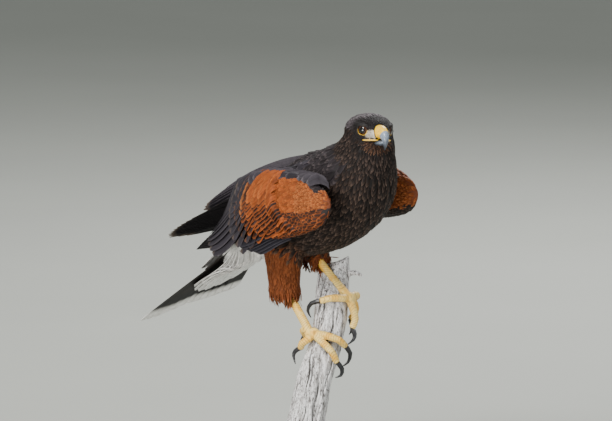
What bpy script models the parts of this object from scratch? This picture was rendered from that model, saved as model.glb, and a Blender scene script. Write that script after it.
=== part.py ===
"""A harris hawk gripping a cut length of dead branch, life size, on a plain display stand.

Metres, +Z up. The origin is the centre of the stand's underside. The bird faces towards +X and -Y.
Each named object is one closed piece, and neighbours keep a gap of about 0.3 mm.
"""

import math
import random

import bmesh
import bpy
from mathutils import Vector

TRIM_GAP = 0.0004
SEED = 7
UP = Vector((0, 0, 1))

TRUNK_HEADING = math.radians(46)
HEAD_HEADING = math.radians(65)

# Trunk and neck, rear to front: centre, half width, height above the centre and below it.
TRUNK_STATIONS = (
    ((-0.070, 0.096, 0.300), 0.010, 0.010, 0.008),
    ((-0.058, 0.085, 0.305), 0.028, 0.028, 0.020),
    ((-0.034, 0.060, 0.316), 0.042, 0.046, 0.035),
    ((-0.008, 0.036, 0.331), 0.050, 0.062, 0.046),
    ((0.024, 0.006, 0.350), 0.054, 0.071, 0.054),
    ((0.050, -0.014, 0.373), 0.056, 0.064, 0.055),
    ((0.062, -0.028, 0.394), 0.052, 0.055, 0.051),
    ((0.069, -0.037, 0.411), 0.043, 0.045, 0.043),
    ((0.074, -0.044, 0.430), 0.034, 0.036, 0.035),
    ((0.077, -0.050, 0.446), 0.028, 0.028, 0.028),
    ((0.078, -0.053, 0.453), 0.016, 0.014, 0.014),
)
TRUNK_SIDES = 22
NECK_TURN_FROM = 6
SHOULDER_CUT_AT, SHOULDER_CUT_FACING = Vector((0.0655, -0.0325, 0.4035)), Vector((0.30, -0.36, 0.88))
THROAT_CUT_AT, THROAT_CUT_FACING = Vector((0.0755, -0.047, 0.4290)), Vector((0.10, -0.20, 0.97))
CUT_WIDTH = 0.0004

HEAD_CENTRE = Vector((0.0775, -0.052, 0.4510))
HEAD_ROLL = math.radians(4)
# Head sections, rear to front: distance ahead of the centre, half width, height above and below.
HEAD_STATIONS = (
    (-0.0330, 0.006, 0.005, 0.008),
    (-0.0285, 0.018, 0.013, 0.018),
    (-0.0160, 0.0285, 0.0195, 0.025),
    (-0.0020, 0.0305, 0.0215, 0.026),
    (0.0070, 0.0270, 0.0208, 0.024),
    (0.0150, 0.0212, 0.0180, 0.0205),
    (0.0230, 0.0145, 0.0125, 0.0170),
    (0.0290, 0.0090, 0.0070, 0.0140),
)
HEAD_SIDES = 16

EYE_AHEAD, EYE_ASIDE, EYE_ABOVE = 0.0126, 0.0146, 0.0024
EYE_RADIUS = 0.0072
EYE_TURN = math.radians(40)
LID_RADIUS, LID_THICK = 0.0062, 0.0012
BROW_THICK = 0.0024

# Bill sections: ahead, height, half width, half depth, and how far the section leans over.
CERE_STATIONS = (
    (0.0225, 0.0010, 0.0085, 0.0088, 0),
    (0.0290, 0.0014, 0.0070, 0.0083, 8),
    (0.0335, 0.0008, 0.0060, 0.0076, 18),
)
BILL_STATIONS = (
    (0.03395, 0.0006, 0.0059, 0.0074, 19),
    (0.0378, -0.0016, 0.0052, 0.0065, 34),
    (0.0405, -0.0052, 0.0042, 0.0053, 56),
    (0.0417, -0.0094, 0.0030, 0.0038, 78),
    (0.0415, -0.0140, 0.0017, 0.0023, 95),
    (0.0407, -0.0184, 0.0006, 0.0007, 104),
)
LOWER_BILL_STATIONS = (
    (0.0235, -0.0118, 0.0064, 0.0030, 0),
    (0.0300, -0.0114, 0.0054, 0.0029, 0),
    (0.0350, -0.0106, 0.0040, 0.0022, 0),
    (0.0384, -0.0096, 0.0012, 0.0009, 0),
)
BILL_SIDES = 12
GAPE_HEIGHT, GAPE_THICK = -0.0090, 0.0011
NOSTRIL_RADIUS = 0.0012

# A folded wing lies along a line from its wrist to its tip. Offsets are heights on the blade from that line.
WRIST_MIDDLE = Vector((0.080, -0.053, 0.3690))
WRIST_ASIDE = 0.0735
WING_LENGTH = 0.345
WING_TURN_IN = {1: math.radians(31), -1: math.radians(37)}
WING_TURN_START, WING_TURN_END = 0.06, 0.27
WING_SLOPE = {1: (math.radians(11.5), math.radians(18)), -1: (math.radians(5), math.radians(17))}
WING_ROLL_FRONT, WING_ROLL_REAR = math.radians(8), math.radians(52)
WING_ROLL_START, WING_ROLL_END = 0.17, 0.32
WING_STEPS = 34
# Sections of the wing's fleshy part: distance from the wrist, offset, half height, bulge out and depth in.
WING_CORE_STATIONS = (
    (-0.004, 0.000, 0.004, 0.002, 0.003),
    (0.004, 0.000, 0.016, 0.006, 0.008),
    (0.020, 0.001, 0.027, 0.010, 0.016),
    (0.050, 0.005, 0.036, 0.012, 0.024),
    (0.090, 0.009, 0.042, 0.011, 0.026),
    (0.125, 0.011, 0.041, 0.008, 0.020),
    (0.155, 0.013, 0.034, 0.004, 0.008),
    (0.172, 0.015, 0.022, 0.001, 0.002),
)
WING_CORE_SIDES = 10

# Tiers of a wing's feathers from its top edge down: how many, and the first and last feather's values.
PRIMARIES = dict(count=7, root=(0.125, 0.100), offset=(0.012, -0.018), tip_offset=(0.022, -0.016),
                 width=(0.0122, 0.0090), lift=(0.0010, -0.0010), lean=0.26)
PRIMARY_TIPS = {1: (0.272, 0.296, 0.315, 0.330, 0.341, 0.345, 0.318),
                -1: (0.292, 0.316, 0.335, 0.349, 0.359, 0.362, 0.340)}
SECONDARIES = dict(count=6, root=(0.100, 0.115), offset=(0.042, -0.010), tip_offset=(0.044, -0.020),
                   width=(0.0148, 0.0136), lift=(0.0040, 0.0040), lean=0.20)
SECONDARY_TIPS = (0.246, 0.262, 0.267, 0.260, 0.246, 0.228)
GREATER_COVERTS = dict(count=5, root=(0.070, 0.068), offset=(0.040, -0.016), tip_offset=(0.048, -0.026),
                       width=(0.0146, 0.0128), lift=(0.0072, 0.0070), lean=0.16)
GREATER_TIPS = (0.164, 0.180, 0.183, 0.173, 0.152)
MEDIAN_COVERTS = dict(count=4, root=(0.042, 0.035), offset=(0.032, -0.014), tip_offset=(0.043, -0.020),
                      width=(0.0150, 0.0128), lift=(0.0100, 0.0095), lean=0.14)
MEDIAN_TIPS = (0.118, 0.134, 0.131, 0.108)
ALULA = dict(count=2, root=(0.055, 0.045), offset=(-0.020, -0.025), tip_offset=(-0.029, -0.036),
             width=(0.0085, 0.0070), lift=(0.0030, 0.0010), lean=0.22)
ALULA_TIPS = (0.186, 0.158)

VANE_THICK = 0.0008
# How a vane's width and thickness run from its root to its tip.
VANE_STEPS = (0.0, 0.45, 0.86, 1.0)
VANE_WIDTHS = (0.55, 1.0, 0.88, 0.30)
VANE_DEPTHS = (1.0, 1.0, 1.0, 0.7)
VANE_HOLLOW = 0.05

TAIL_ROOT = Vector((-0.0665, 0.0875, 0.3020))
TAIL_AXIS = Vector((-0.367, 0.781, -0.509)).normalized()
TAIL_RIGHT_HINT = Vector((-0.815, -0.532, -0.229))
TAIL_FEATHERS = 12
TAIL_LENGTH = 0.219
TAIL_OUTER_SHORTER = 0.010
TAIL_HALF_FAN = {1: math.radians(19.5), -1: math.radians(12)}
TAIL_CORE_STATIONS = ((-0.006, 0.020, 0.010), (0.010, 0.025, 0.013), (0.035, 0.024, 0.011), (0.060, 0.018, 0.006))
TAIL_COVERT_FAN = {1: math.radians(13), -1: math.radians(13)}
TAIL_COVERT_LENGTHS = (0.128, 0.158, 0.170, 0.158, 0.128)
RUMP_COVERT_LENGTHS = (0.092, 0.110, 0.092)

# Legs: centres with half sizes across and fore-and-aft, then the shank's run down to the foot.
THIGHS = {
    "right": (
        ((-0.028, 0.020, 0.322), 0.020, 0.026),
        ((-0.027, 0.019, 0.296), 0.023, 0.028),
        ((-0.027, 0.021, 0.276), 0.020, 0.024),
        ((-0.0265, 0.0215, 0.258), 0.0195, 0.021),
        ((-0.0250, 0.0205, 0.242), 0.0175, 0.017),
        ((-0.0235, 0.0195, 0.235), 0.012, 0.012),
    ),
    "left": (
        ((0.011, 0.064, 0.325), 0.020, 0.024),
        ((0.011, 0.060, 0.306), 0.021, 0.023),
        ((0.011, 0.051, 0.292), 0.018, 0.019),
        ((0.0125, 0.0435, 0.281), 0.0135, 0.0135),
        ((0.0155, 0.0385, 0.273), 0.0085, 0.009),
    ),
}
SHANKS = {
    "right": ((-0.0225, 0.0195, 0.2475), (-0.0155, 0.0145, 0.2345), (-0.0015, 0.001, 0.2105), (0.0050, -0.008, 0.197)),
    "left": ((0.014, 0.040, 0.284), (0.020, 0.033, 0.276), (0.0365, 0.018, 0.257), (0.0500, 0.0055, 0.2420)),
}
SHANK_RADII = (0.0056, 0.0052, 0.0053, 0.0064)
FOOT_PAD_RADIUS = 0.0072
TROUSER_LOCKS = 7

# Branch: its middle, then its half width and half depth. The broken top is split, with its front face gone.
BRANCH_PATH = (
    ((-0.006, -0.016, 0.048), 0.0235, 0.0230),
    ((-0.001, -0.010, 0.085), 0.0245, 0.0240),
    ((0.011, -0.001, 0.145), 0.0225, 0.0225),
    ((0.024, 0.007, 0.182), 0.0215, 0.0215),
    ((0.030, 0.015, 0.218), 0.0215, 0.0210),
    ((0.0318, 0.0225, 0.238), 0.0212, 0.0200),
    ((0.0325, 0.032, 0.252), 0.0208, 0.0155),
    ((0.0340, 0.041, 0.277), 0.0195, 0.0105),
)
BRANCH_SIDES = 16
TOP_SLOPE, TOP_NOTCH = (-0.002, 0.008), 0.007
BRANCH_ROUGHNESS = 0.07
TWIG_POINTS = ((0.042, 0.038, 0.264), (0.060, 0.034, 0.267), (0.068, 0.032, 0.2635))
TWIG_RADII = (0.0045, 0.0036, 0.0024)

# Each toe: height and angle round the branch at points out to its claw, and the claw's own run.
FOOT_ANGLES = {"right": (0.1925, -43), "left": (0.2350, 50)}
TOES = {
    "right": {
        "inner": (((0.192, -10), (0.190, 24), (0.1855, 52)), ((0.181, 74), (0.173, 83), (0.166, 80))),
        "middle": (((0.1845, -18), (0.176, 12), (0.168, 38)), ((0.163, 56), (0.156, 62), (0.150, 56))),
        "outer": (((0.182, -56), (0.175, -70), (0.169, -82)), ((0.164, -92), (0.158, -94), (0.152, -84))),
        "hind": (((0.1965, -72), (0.1945, -92), (0.189, -108)), ((0.182, -118), (0.175, -120), (0.170, -112))),
    },
    "left": {
        "inner": (((0.2325, 26), (0.2305, -4), (0.2290, -30)), ((0.226, -52), (0.218, -64), (0.2105, -62))),
        "middle": (((0.2260, 66), (0.2160, 78), (0.2060, 82)), ((0.200, 83), (0.193, 80), (0.187, 68))),
        "outer": (((0.2320, 88), (0.2250, 108), (0.2170, 118)), ((0.211, 121), (0.204, 118), (0.199, 106))),
        "hind": (((0.2400, 76), (0.2430, 100), (0.2420, 124)), ((0.238, 142), (0.230, 150), (0.223, 148))),
    },
}
TOE_RADII = (0.0048, 0.0046, 0.0042)
CLAW_RADII = (0.0034, 0.0030, 0.0020, 0.0006)
TOE_ARCH, CLAW_ARCH = (0.0015, 0.0042, 0.0015), (0.0062, 0.0060, 0.0008)

BASE_RADIUS, BASE_HEIGHT, BASE_BEVEL = 0.125, 0.016, 0.003
ROD_RADIUS = 0.0055
REST_GAP = 0.0003


def heading(angle):
    """The level direction that turns from +X towards -Y by the angle."""
    return Vector((math.cos(angle), -math.sin(angle), 0))


def right_of(forward):
    """The level direction to the right of a forward direction."""
    return Vector((forward.y, -forward.x, 0)).normalized()


def between(pair, share):
    """The value that lies the given share of the way through a pair."""
    return pair[0] + (pair[1] - pair[0]) * share


def ease(share):
    """A share from 0 to 1, clamped, that starts and ends gently."""
    share = min(1.0, max(0.0, share))
    return share * share * (3 - 2 * share)


def table(stations, at):
    """The rows of a station table, read smoothly at a place along their first column."""
    rows = [[float(v) for v in row] for row in stations]
    at = min(max(at, rows[0][0]), rows[-1][0])
    for low, high in zip(rows, rows[1:]):
        if at <= high[0]:
            share = (at - low[0]) / (high[0] - low[0])
            return [a + (b - a) * share for a, b in zip(low[1:], high[1:])]
    return rows[-1][1:]


def smooth_rows(rows, extra=1):
    """Rows of numbers with extra rows put between them on a Catmull-Rom curve."""
    found = []
    last = len(rows) - 1
    for i in range(last):
        near = [rows[max(i - 1, 0)], rows[i], rows[i + 1], rows[min(i + 2, last)]]
        for k in range(extra + 1):
            t = k / (extra + 1)
            weights = (
                (-t + 2 * t * t - t ** 3) / 2,
                (2 - 5 * t * t + 3 * t ** 3) / 2,
                (t + 4 * t * t - 3 * t ** 3) / 2,
                (-t * t + t ** 3) / 2,
            )
            found.append([sum(w * row[j] for w, row in zip(weights, near)) for j in range(len(rows[0]))])
    found.append(list(rows[-1]))
    return found


def material(name, colour, roughness, metallic=0.0):
    """A Principled material of one colour."""
    made = bpy.data.materials.get(name)
    if made is None:
        made = bpy.data.materials.new(name)
        made.use_nodes = True
        shader = made.node_tree.nodes["Principled BSDF"]
        shader.inputs["Base Color"].default_value = (*colour, 1)
        shader.inputs["Roughness"].default_value = roughness
        shader.inputs["Metallic"].default_value = metallic
    return made


PLUMAGE = ("dark_plumage", (0.045, 0.033, 0.028), 0.75)
RUFOUS = ("rufous_plumage", (0.30, 0.085, 0.025), 0.75)
YELLOW_SKIN = ("yellow_skin", (0.80, 0.52, 0.15), 0.5)
CLAW_HORN = ("claw_horn", (0.02, 0.02, 0.025), 0.3)
BILL_HORN = ("bill_horn", (0.30, 0.38, 0.48), 0.3)
EYE_DARK = ("eye_dark", (0.05, 0.02, 0.01), 0.1)
GREY_WOOD = ("grey_wood", (0.42, 0.40, 0.38), 0.85)
STAND_WOOD = ("stand_wood", (0.10, 0.075, 0.06), 0.5)
ROD_METAL = ("rod_metal", (0.35, 0.35, 0.36), 0.35, 1.0)


def mesh_object(name, build):
    """A new object whose mesh the build function fills through bmesh, with its faces turned outwards."""
    mesh = bpy.data.meshes.new(name)
    work = bmesh.new()
    build(work)
    bmesh.ops.recalc_face_normals(work, faces=work.faces)
    work.to_mesh(mesh)
    work.free()
    made = bpy.data.objects.new(name, mesh)
    PARTS.objects.link(made)
    return made


def loft(name, rings):
    """A closed body through rings of points, each end closed by a fan."""

    def build(work):
        rows = [[work.verts.new(p) for p in ring] for ring in rings]
        for low, high in zip(rows, rows[1:]):
            for j, vertex in enumerate(low):
                k = (j + 1) % len(low)
                work.faces.new((vertex, low[k], high[k], high[j]))
        for row, ring in ((rows[0], rings[0]), (rows[-1], rings[-1])):
            middle = work.verts.new(sum(ring, Vector()) / len(ring))
            for j, vertex in enumerate(row):
                work.faces.new((middle, vertex, row[(j + 1) % len(row)]))
        bmesh.ops.triangulate(work, faces=work.faces)

    return mesh_object(name, build)


def oval(centre, side, up, half_width, above, below, count):
    """A ring of points round a centre, taller or shorter above than below."""
    ring = []
    for k in range(count):
        angle = 2 * math.pi * k / count
        rise = math.sin(angle)
        ring.append(centre + side * (half_width * math.cos(angle)) + up * (rise * (above if rise > 0 else below)))
    return ring


def tube(name, points, radii, resolution=2):
    """A mesh tube of varying radius along points, made from a bevelled curve with filled caps."""
    curve = bpy.data.curves.new(name, "CURVE")
    curve.dimensions = "3D"
    curve.bevel_depth = 1.0
    curve.bevel_resolution = resolution
    curve.use_fill_caps = True
    spline = curve.splines.new("POLY")
    spline.points.add(len(points) - 1)
    for point, place, radius in zip(spline.points, points, radii):
        point.co = (*place, 1)
        point.radius = radius
    drawn = bpy.data.objects.new(name + "_curve", curve)
    PARTS.objects.link(drawn)
    bpy.context.view_layer.update()
    graph = bpy.context.evaluated_depsgraph_get()
    mesh = bpy.data.meshes.new_from_object(drawn.evaluated_get(graph))
    made = bpy.data.objects.new(name, mesh)
    made.matrix_world = drawn.matrix_world
    PARTS.objects.link(made)
    bpy.data.objects.remove(drawn)
    work = bmesh.new()
    work.from_mesh(mesh)
    bmesh.ops.remove_doubles(work, verts=work.verts, dist=1e-6)
    bmesh.ops.triangulate(work, faces=work.faces)
    bmesh.ops.recalc_face_normals(work, faces=work.faces)
    work.to_mesh(mesh)
    work.free()
    return made


def ball(name, centre, radius, segments=12, rings=8, stretch=(1, 1, 1), turn=None):
    """A sphere, or an egg stretched along its own axes and then turned."""

    def build(work):
        bmesh.ops.create_uvsphere(work, u_segments=segments, v_segments=rings, radius=radius)
        bmesh.ops.scale(work, vec=stretch, verts=work.verts)
        if turn is not None:
            bmesh.ops.rotate(work, matrix=turn, verts=work.verts)
        bmesh.ops.translate(work, vec=centre, verts=work.verts)

    return mesh_object(name, build)


def vane(name, spine, acrosses, normals, half_width, lean=0.0, depth=VANE_THICK, hollowed=VANE_HOLLOW):
    """A feather: a thin closed strip along a spine, split into triangles alike on both faces."""

    def build(work):
        rows = []
        for centre, across, normal, wide, deep in zip(spine, acrosses, normals, VANE_WIDTHS, VANE_DEPTHS):
            reach = (across - normal * lean).normalized() * (half_width * wide)
            half = normal * (depth * deep / 2)
            hollow = normal * (half_width * wide * hollowed)
            places = (centre - reach - hollow, centre, centre + reach - hollow)
            rows.append(([work.verts.new(p + half) for p in places], [work.verts.new(p - half) for p in places]))
        for (top, under), (next_top, next_under) in zip(rows, rows[1:]):
            for j in range(2):
                for a, b in ((top, next_top), (under, next_under)):
                    work.faces.new((a[j], a[j + 1], b[j + 1]))
                    work.faces.new((a[j], b[j + 1], b[j]))
            for j in (0, 2):
                work.faces.new((top[j], under[j], next_under[j]))
                work.faces.new((top[j], next_under[j], next_top[j]))
        for top, under in (rows[0], rows[-1]):
            for j in range(2):
                work.faces.new((top[j], top[j + 1], under[j + 1], under[j]))
        bmesh.ops.triangulate(work, faces=[f for f in work.faces if len(f.verts) == 4])

    return mesh_object(name, build)


def islands_of(work):
    """The sets of faces of a bmesh that hang together."""
    left, found = set(work.faces), []
    while left:
        stack = [left.pop()]
        group = set(stack)
        while stack:
            for edge in stack.pop().edges:
                for face in edge.link_faces:
                    if face in left:
                        left.discard(face)
                        group.add(face)
                        stack.append(face)
        found.append(group)
    return found


def volume_of(faces):
    """The signed volume that a set of triangles encloses."""
    return sum(f.verts[0].co.dot(f.verts[1].co.cross(f.verts[2].co)) for f in faces) / 6


def keep_largest(piece):
    """Leaves only the largest closed surface of a piece."""
    work = bmesh.new()
    work.from_mesh(piece.data)
    bmesh.ops.remove_doubles(work, verts=work.verts, dist=1e-7)
    bmesh.ops.triangulate(work, faces=work.faces)
    groups = sorted(islands_of(work), key=lambda group: abs(volume_of(group)))
    spare = [face for group in groups[:-1] for face in group]
    if spare:
        bmesh.ops.delete(work, geom=spare, context="FACES")
    work.to_mesh(piece.data)
    work.free()
    return piece


def boolean(piece, operation, others, solver):
    """Applies one Boolean between a piece and a collection of closed meshes, which are then removed."""
    group = bpy.data.collections.new(piece.name + "_tools")
    CUTTERS.children.link(group)
    for other in others:
        for home in list(other.users_collection):
            home.objects.unlink(other)
        group.objects.link(other)
        other.hide_render = True
        other.display_type = "WIRE"
    modifier = piece.modifiers.new(operation.lower(), "BOOLEAN")
    modifier.operation = operation
    modifier.operand_type = "COLLECTION"
    modifier.collection = group
    modifier.solver = solver
    bpy.context.view_layer.update()
    graph = bpy.context.evaluated_depsgraph_get()
    result = bpy.data.meshes.new_from_object(piece.evaluated_get(graph))
    piece.modifiers.clear()
    piece.data = result
    for other in list(group.objects):
        bpy.data.objects.remove(other)
    bpy.data.collections.remove(group)
    return piece


def fuse(piece, others, solver="MANIFOLD"):
    """Joins other closed pieces into a piece and keeps the largest closed surface."""
    return keep_largest(boolean(piece, "UNION", others, solver))


def swollen(piece, by=TRIM_GAP):
    """A copy of a piece, grown outwards evenly by a gap."""
    copy = piece.copy()
    copy.data = piece.data.copy()
    PARTS.objects.link(copy)
    work = bmesh.new()
    work.from_mesh(copy.data)
    work.normal_update()
    moves = [(v, v.normal * (by * min(v.calc_shell_factor(), 1.6))) for v in work.verts]
    for vertex, move in moves:
        vertex.co += move
    work.to_mesh(copy.data)
    work.free()
    return copy


def trim(piece, others, solver="MANIFOLD"):
    """Cuts a piece back from its neighbours, leaving the gap that touching pieces keep."""
    return keep_largest(boolean(piece, "DIFFERENCE", [swollen(other) for other in others], solver))


def finish(piece, name, look):
    """Names a finished piece, shades it smooth and gives it its material."""
    piece.name = name
    piece.data.name = name
    piece.data.materials.clear()
    piece.data.materials.append(material(*look))
    piece.data.shade_smooth()
    piece.data.set_sharp_from_angle(angle=math.radians(40))
    return piece


def half_space(name, at, facing, reach=0.6):
    """A big block whose one face lies on a plane and which fills the side that the plane faces."""

    def build(work):
        bmesh.ops.create_cube(work, size=reach)
        bmesh.ops.translate(work, vec=(0, 0, reach / 2), verts=work.verts)
        bmesh.ops.rotate(work, matrix=facing.to_track_quat("Z", "Y").to_matrix(), verts=work.verts)
        bmesh.ops.translate(work, vec=at, verts=work.verts)

    return mesh_object(name, build)


def copy_of(piece, name):
    """A copy of a piece with its own mesh."""
    made = piece.copy()
    made.data = piece.data.copy()
    made.name = name
    PARTS.objects.link(made)
    return made


# Trunk, neck and head

def trunk_body():
    """The trunk and neck as one loft, twisting from the trunk's heading to the head's."""
    rows = smooth_rows([[*centre, w, a, b, i] for i, (centre, w, a, b) in enumerate(TRUNK_STATIONS)])
    centres = [Vector(row[:3]) for row in rows]
    last = len(rows) - 1
    rings = []
    for i, row in enumerate(rows):
        tangent = (centres[min(i + 1, last)] - centres[max(i - 1, 0)]).normalized()
        turned = ease((row[6] - NECK_TURN_FROM) / (len(TRUNK_STATIONS) - 1 - NECK_TURN_FROM))
        side = right_of(heading(between((TRUNK_HEADING, HEAD_HEADING), turned)))
        side = (side - tangent * side.dot(tangent)).normalized()
        rings.append(oval(centres[i], side, side.cross(tangent), *row[3:6], TRUNK_SIDES))
    return loft("trunk", rings)


def head_frame():
    """The head's directions: ahead, to the bird's right, and up."""
    ahead = heading(HEAD_HEADING)
    level = right_of(ahead)
    right = level * math.cos(HEAD_ROLL) + UP * math.sin(HEAD_ROLL)
    return ahead, right, right.cross(ahead)


def head_place(ahead, aside, above):
    """A place in the head's own directions from its centre."""
    forward, right, up = head_frame()
    return HEAD_CENTRE + forward * ahead + right * aside + up * above


def head_body():
    """The skull's outline with its plumage, from the nape to the base of the bill."""
    _, side, up = head_frame()
    rows = smooth_rows([list(row) for row in HEAD_STATIONS])
    return loft("head", [oval(head_place(row[0], 0, 0), side, up, *row[1:], HEAD_SIDES) for row in rows])


def bill_loft(name, stations, extra=1):
    """A length of the bill through sections that lean over as it hooks down."""
    forward, side, upright = head_frame()
    rings = []
    for ahead, height, half_width, half_depth, lean in smooth_rows([list(s) for s in stations], extra):
        angle = math.radians(lean)
        up = upright * math.cos(angle) + forward * math.sin(angle)
        rings.append(oval(head_place(ahead, 0, height), side, up, half_width, half_depth, half_depth, BILL_SIDES))
    return loft(name, rings)


def eye_axis(hand):
    """Where an eye looks: out to its side and partly ahead."""
    forward, right, _ = head_frame()
    return (right * (hand * math.cos(EYE_TURN)) + forward * math.sin(EYE_TURN)).normalized()


def lid_ring(hand):
    """The raised rim of skin round an eye."""
    centre = head_place(EYE_AHEAD, hand * EYE_ASIDE, EYE_ABOVE)
    axis = eye_axis(hand)
    out = math.sqrt(EYE_RADIUS ** 2 - LID_RADIUS ** 2) + 0.0004
    bpy.ops.mesh.primitive_torus_add(
        major_radius=LID_RADIUS, minor_radius=LID_THICK, major_segments=16, minor_segments=5,
        location=centre + axis * out, rotation=axis.to_track_quat("Z", "Y").to_euler(),
    )
    ring = bpy.context.object
    ring.name = "lid"
    ring.data.transform(ring.matrix_world)
    ring.matrix_world.identity()
    return ring


def build_head(whole):
    """The head with brows, lids and lips, and the eyes and bill that sit in it."""
    head = boolean(copy_of(whole, "head"), "INTERSECT",
                   [half_space("above_throat", THROAT_CUT_AT + THROAT_CUT_FACING.normalized() * CUT_WIDTH,
                               THROAT_CUT_FACING)], "MANIFOLD")
    added, eyes = [], []
    for hand, label in ((1, "right"), (-1, "left")):
        brow = [head_place(a, hand * s, h) for a, s, h in (
            (0.002, 0.0262, 0.0088), (0.009, 0.0236, 0.0092), (0.016, 0.0188, 0.0080), (0.022, 0.0132, 0.0052))]
        added.append(tube("brow", brow, (0.0012, BROW_THICK, BROW_THICK, 0.0012)))
        gape = [head_place(a, hand * s, GAPE_HEIGHT + h) for a, s, h in (
            (0.0150, 0.0176, 0.0002), (0.0205, 0.0145, 0.0), (0.0260, 0.0098, 0.0), (0.0300, 0.0070, 0.0))]
        added.append(tube("gape", gape, (0.0007, GAPE_THICK, GAPE_THICK, GAPE_THICK)))
        added.append(lid_ring(hand))
        eye = ball("eye", head_place(EYE_AHEAD, hand * EYE_ASIDE, EYE_ABOVE), EYE_RADIUS, 16, 10)
        eyes.append(finish(eye, "eye_" + label, EYE_DARK))
    fuse(head, added)
    cere = bill_loft("cere", CERE_STATIONS)
    nostrils = [ball("nostril", head_place(0.0312, hand * 0.0070, 0.0032), NOSTRIL_RADIUS, 8, 6, (1, 1, 1.6))
                for hand in (1, -1)]
    keep_largest(boolean(cere, "DIFFERENCE", nostrils, "MANIFOLD"))
    upper = bill_loft("upper_bill", BILL_STATIONS)
    lower = bill_loft("lower_bill", LOWER_BILL_STATIONS)
    trim(head, [cere, lower, *eyes])
    trim(upper, [cere])
    trim(lower, [cere, upper])
    finish(cere, "cere", YELLOW_SKIN)
    finish(upper, "upper_bill", BILL_HORN)
    finish(lower, "lower_bill", BILL_HORN)
    return finish(head, "head", PLUMAGE)


def build_trunk(whole):
    """The neck and torso, parted from the whole by thin cuts."""
    neck = boolean(copy_of(whole, "neck"), "DIFFERENCE",
                   [half_space("over_neck", THROAT_CUT_AT, THROAT_CUT_FACING)], "MANIFOLD")
    boolean(neck, "INTERSECT",
            [half_space("above_shoulder", SHOULDER_CUT_AT + SHOULDER_CUT_FACING.normalized() * CUT_WIDTH,
                        SHOULDER_CUT_FACING)], "MANIFOLD")
    finish(keep_largest(neck), "neck", PLUMAGE)
    boolean(whole, "DIFFERENCE", [half_space("over_shoulder", SHOULDER_CUT_AT, SHOULDER_CUT_FACING)], "MANIFOLD")
    return finish(keep_largest(whole), "torso", PLUMAGE)


# Wings

def wing_axis(hand):
    """Places along a folded wing's middle line from its wrist, each with its directions back, up and out."""
    forward = heading(TRUNK_HEADING)
    outward = right_of(forward) * hand
    place = WRIST_MIDDLE + outward * WRIST_ASIDE
    step = WING_LENGTH * 1.06 / WING_STEPS
    found = []
    for k in range(WING_STEPS + 1):
        along = k * step
        turn = WING_TURN_IN[hand] * ease((along - WING_TURN_START) / (WING_TURN_END - WING_TURN_START))
        slope = between(WING_SLOPE[hand], ease(along / WING_LENGTH))
        level = -forward * math.cos(turn) - outward * math.sin(turn)
        out = outward * math.cos(turn) - forward * math.sin(turn)
        back = level * math.cos(slope) - UP * math.sin(slope)
        rise = UP * math.cos(slope) + level * math.sin(slope)
        rolled = ease((along - WING_ROLL_START) / (WING_ROLL_END - WING_ROLL_START))
        roll = between((WING_ROLL_FRONT, WING_ROLL_REAR), rolled)
        up = rise * math.cos(roll) - out * math.sin(roll)
        normal = out * math.cos(roll) + rise * math.sin(roll)
        found.append((along, place.copy(), back, up, normal))
        place += back * step
    return found


def wing_frame(axis, along):
    """The place and directions on a wing's middle line at a distance from the wrist."""
    step = axis[1][0]
    if along <= 0:
        _, place, back, up, normal = axis[0]
        return place + back * along, back, up, normal
    i = min(int(along / step), len(axis) - 2)
    share = along / step - i
    low, high = axis[i], axis[i + 1]
    return [low[j].lerp(high[j], share) for j in range(1, 5)]


def wing_place(axis, along, offset, lift):
    """A place on a wing's outer surface: distance from the wrist, height on the blade and lift off it."""
    place, _, up, normal = wing_frame(axis, along)
    middle, half, bulge, _ = table(WING_CORE_STATIONS, along)
    fall = max(0.0, 1 - ((offset - middle) / max(half, 0.03)) ** 2)
    return place + up * offset + normal * (bulge * fall + lift)


def wing_core(axis):
    """The fleshy part of a folded wing, rounded outside and flatter inside."""
    rings = []
    for along, middle, half, bulge, depth in WING_CORE_STATIONS:
        place, _, up, normal = wing_frame(axis, along)
        rings.append(oval(place + up * middle, up, normal, half, bulge, depth, WING_CORE_SIDES))
    return loft("wing_core", rings)


def wing_tier(axis, tips, count, root, offset, tip_offset, width, lift, lean):
    """One tier of feathers, from the top edge of the blade to its lower edge."""
    made = []
    for k in range(count):
        share = k / (count - 1)
        start, end = between(root, share), tips[k]
        low, high = between(offset, share), between(tip_offset, share)
        raised = between(lift, share)
        spine, acrosses, normals = [], [], []
        for t in VANE_STEPS:
            along = start + (end - start) * t
            _, _, up, normal = wing_frame(axis, along)
            sunk = -(raised + 0.003) * (1 - ease(t / 0.45))
            spine.append(wing_place(axis, along, low + (high - low) * ease(t), raised + sunk))
            acrosses.append(up)
            normals.append(normal)
        made.append(vane("vane", spine, acrosses, normals, between(width, share), lean))
    return made


def build_wing(hand, label):
    """A folded wing: its fleshy part with the flight feathers and coverts in tiers."""
    axis = wing_axis(hand)
    wing = wing_core(axis)
    feathers = []
    for tier, tips in ((PRIMARIES, PRIMARY_TIPS[hand]), (SECONDARIES, SECONDARY_TIPS), (GREATER_COVERTS, GREATER_TIPS),
                       (MEDIAN_COVERTS, MEDIAN_TIPS), (ALULA, ALULA_TIPS)):
        feathers += wing_tier(axis, tips, **tier)
    fuse(wing, feathers)
    return finish(wing, label + "_wing", RUFOUS)


# Tail

def tail_frame():
    """The tail's directions: back along it, to the bird's right, and up from it."""
    right = (TAIL_RIGHT_HINT - TAIL_AXIS * TAIL_RIGHT_HINT.dot(TAIL_AXIS)).normalized()
    return TAIL_AXIS, right, TAIL_AXIS.cross(right)


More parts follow.
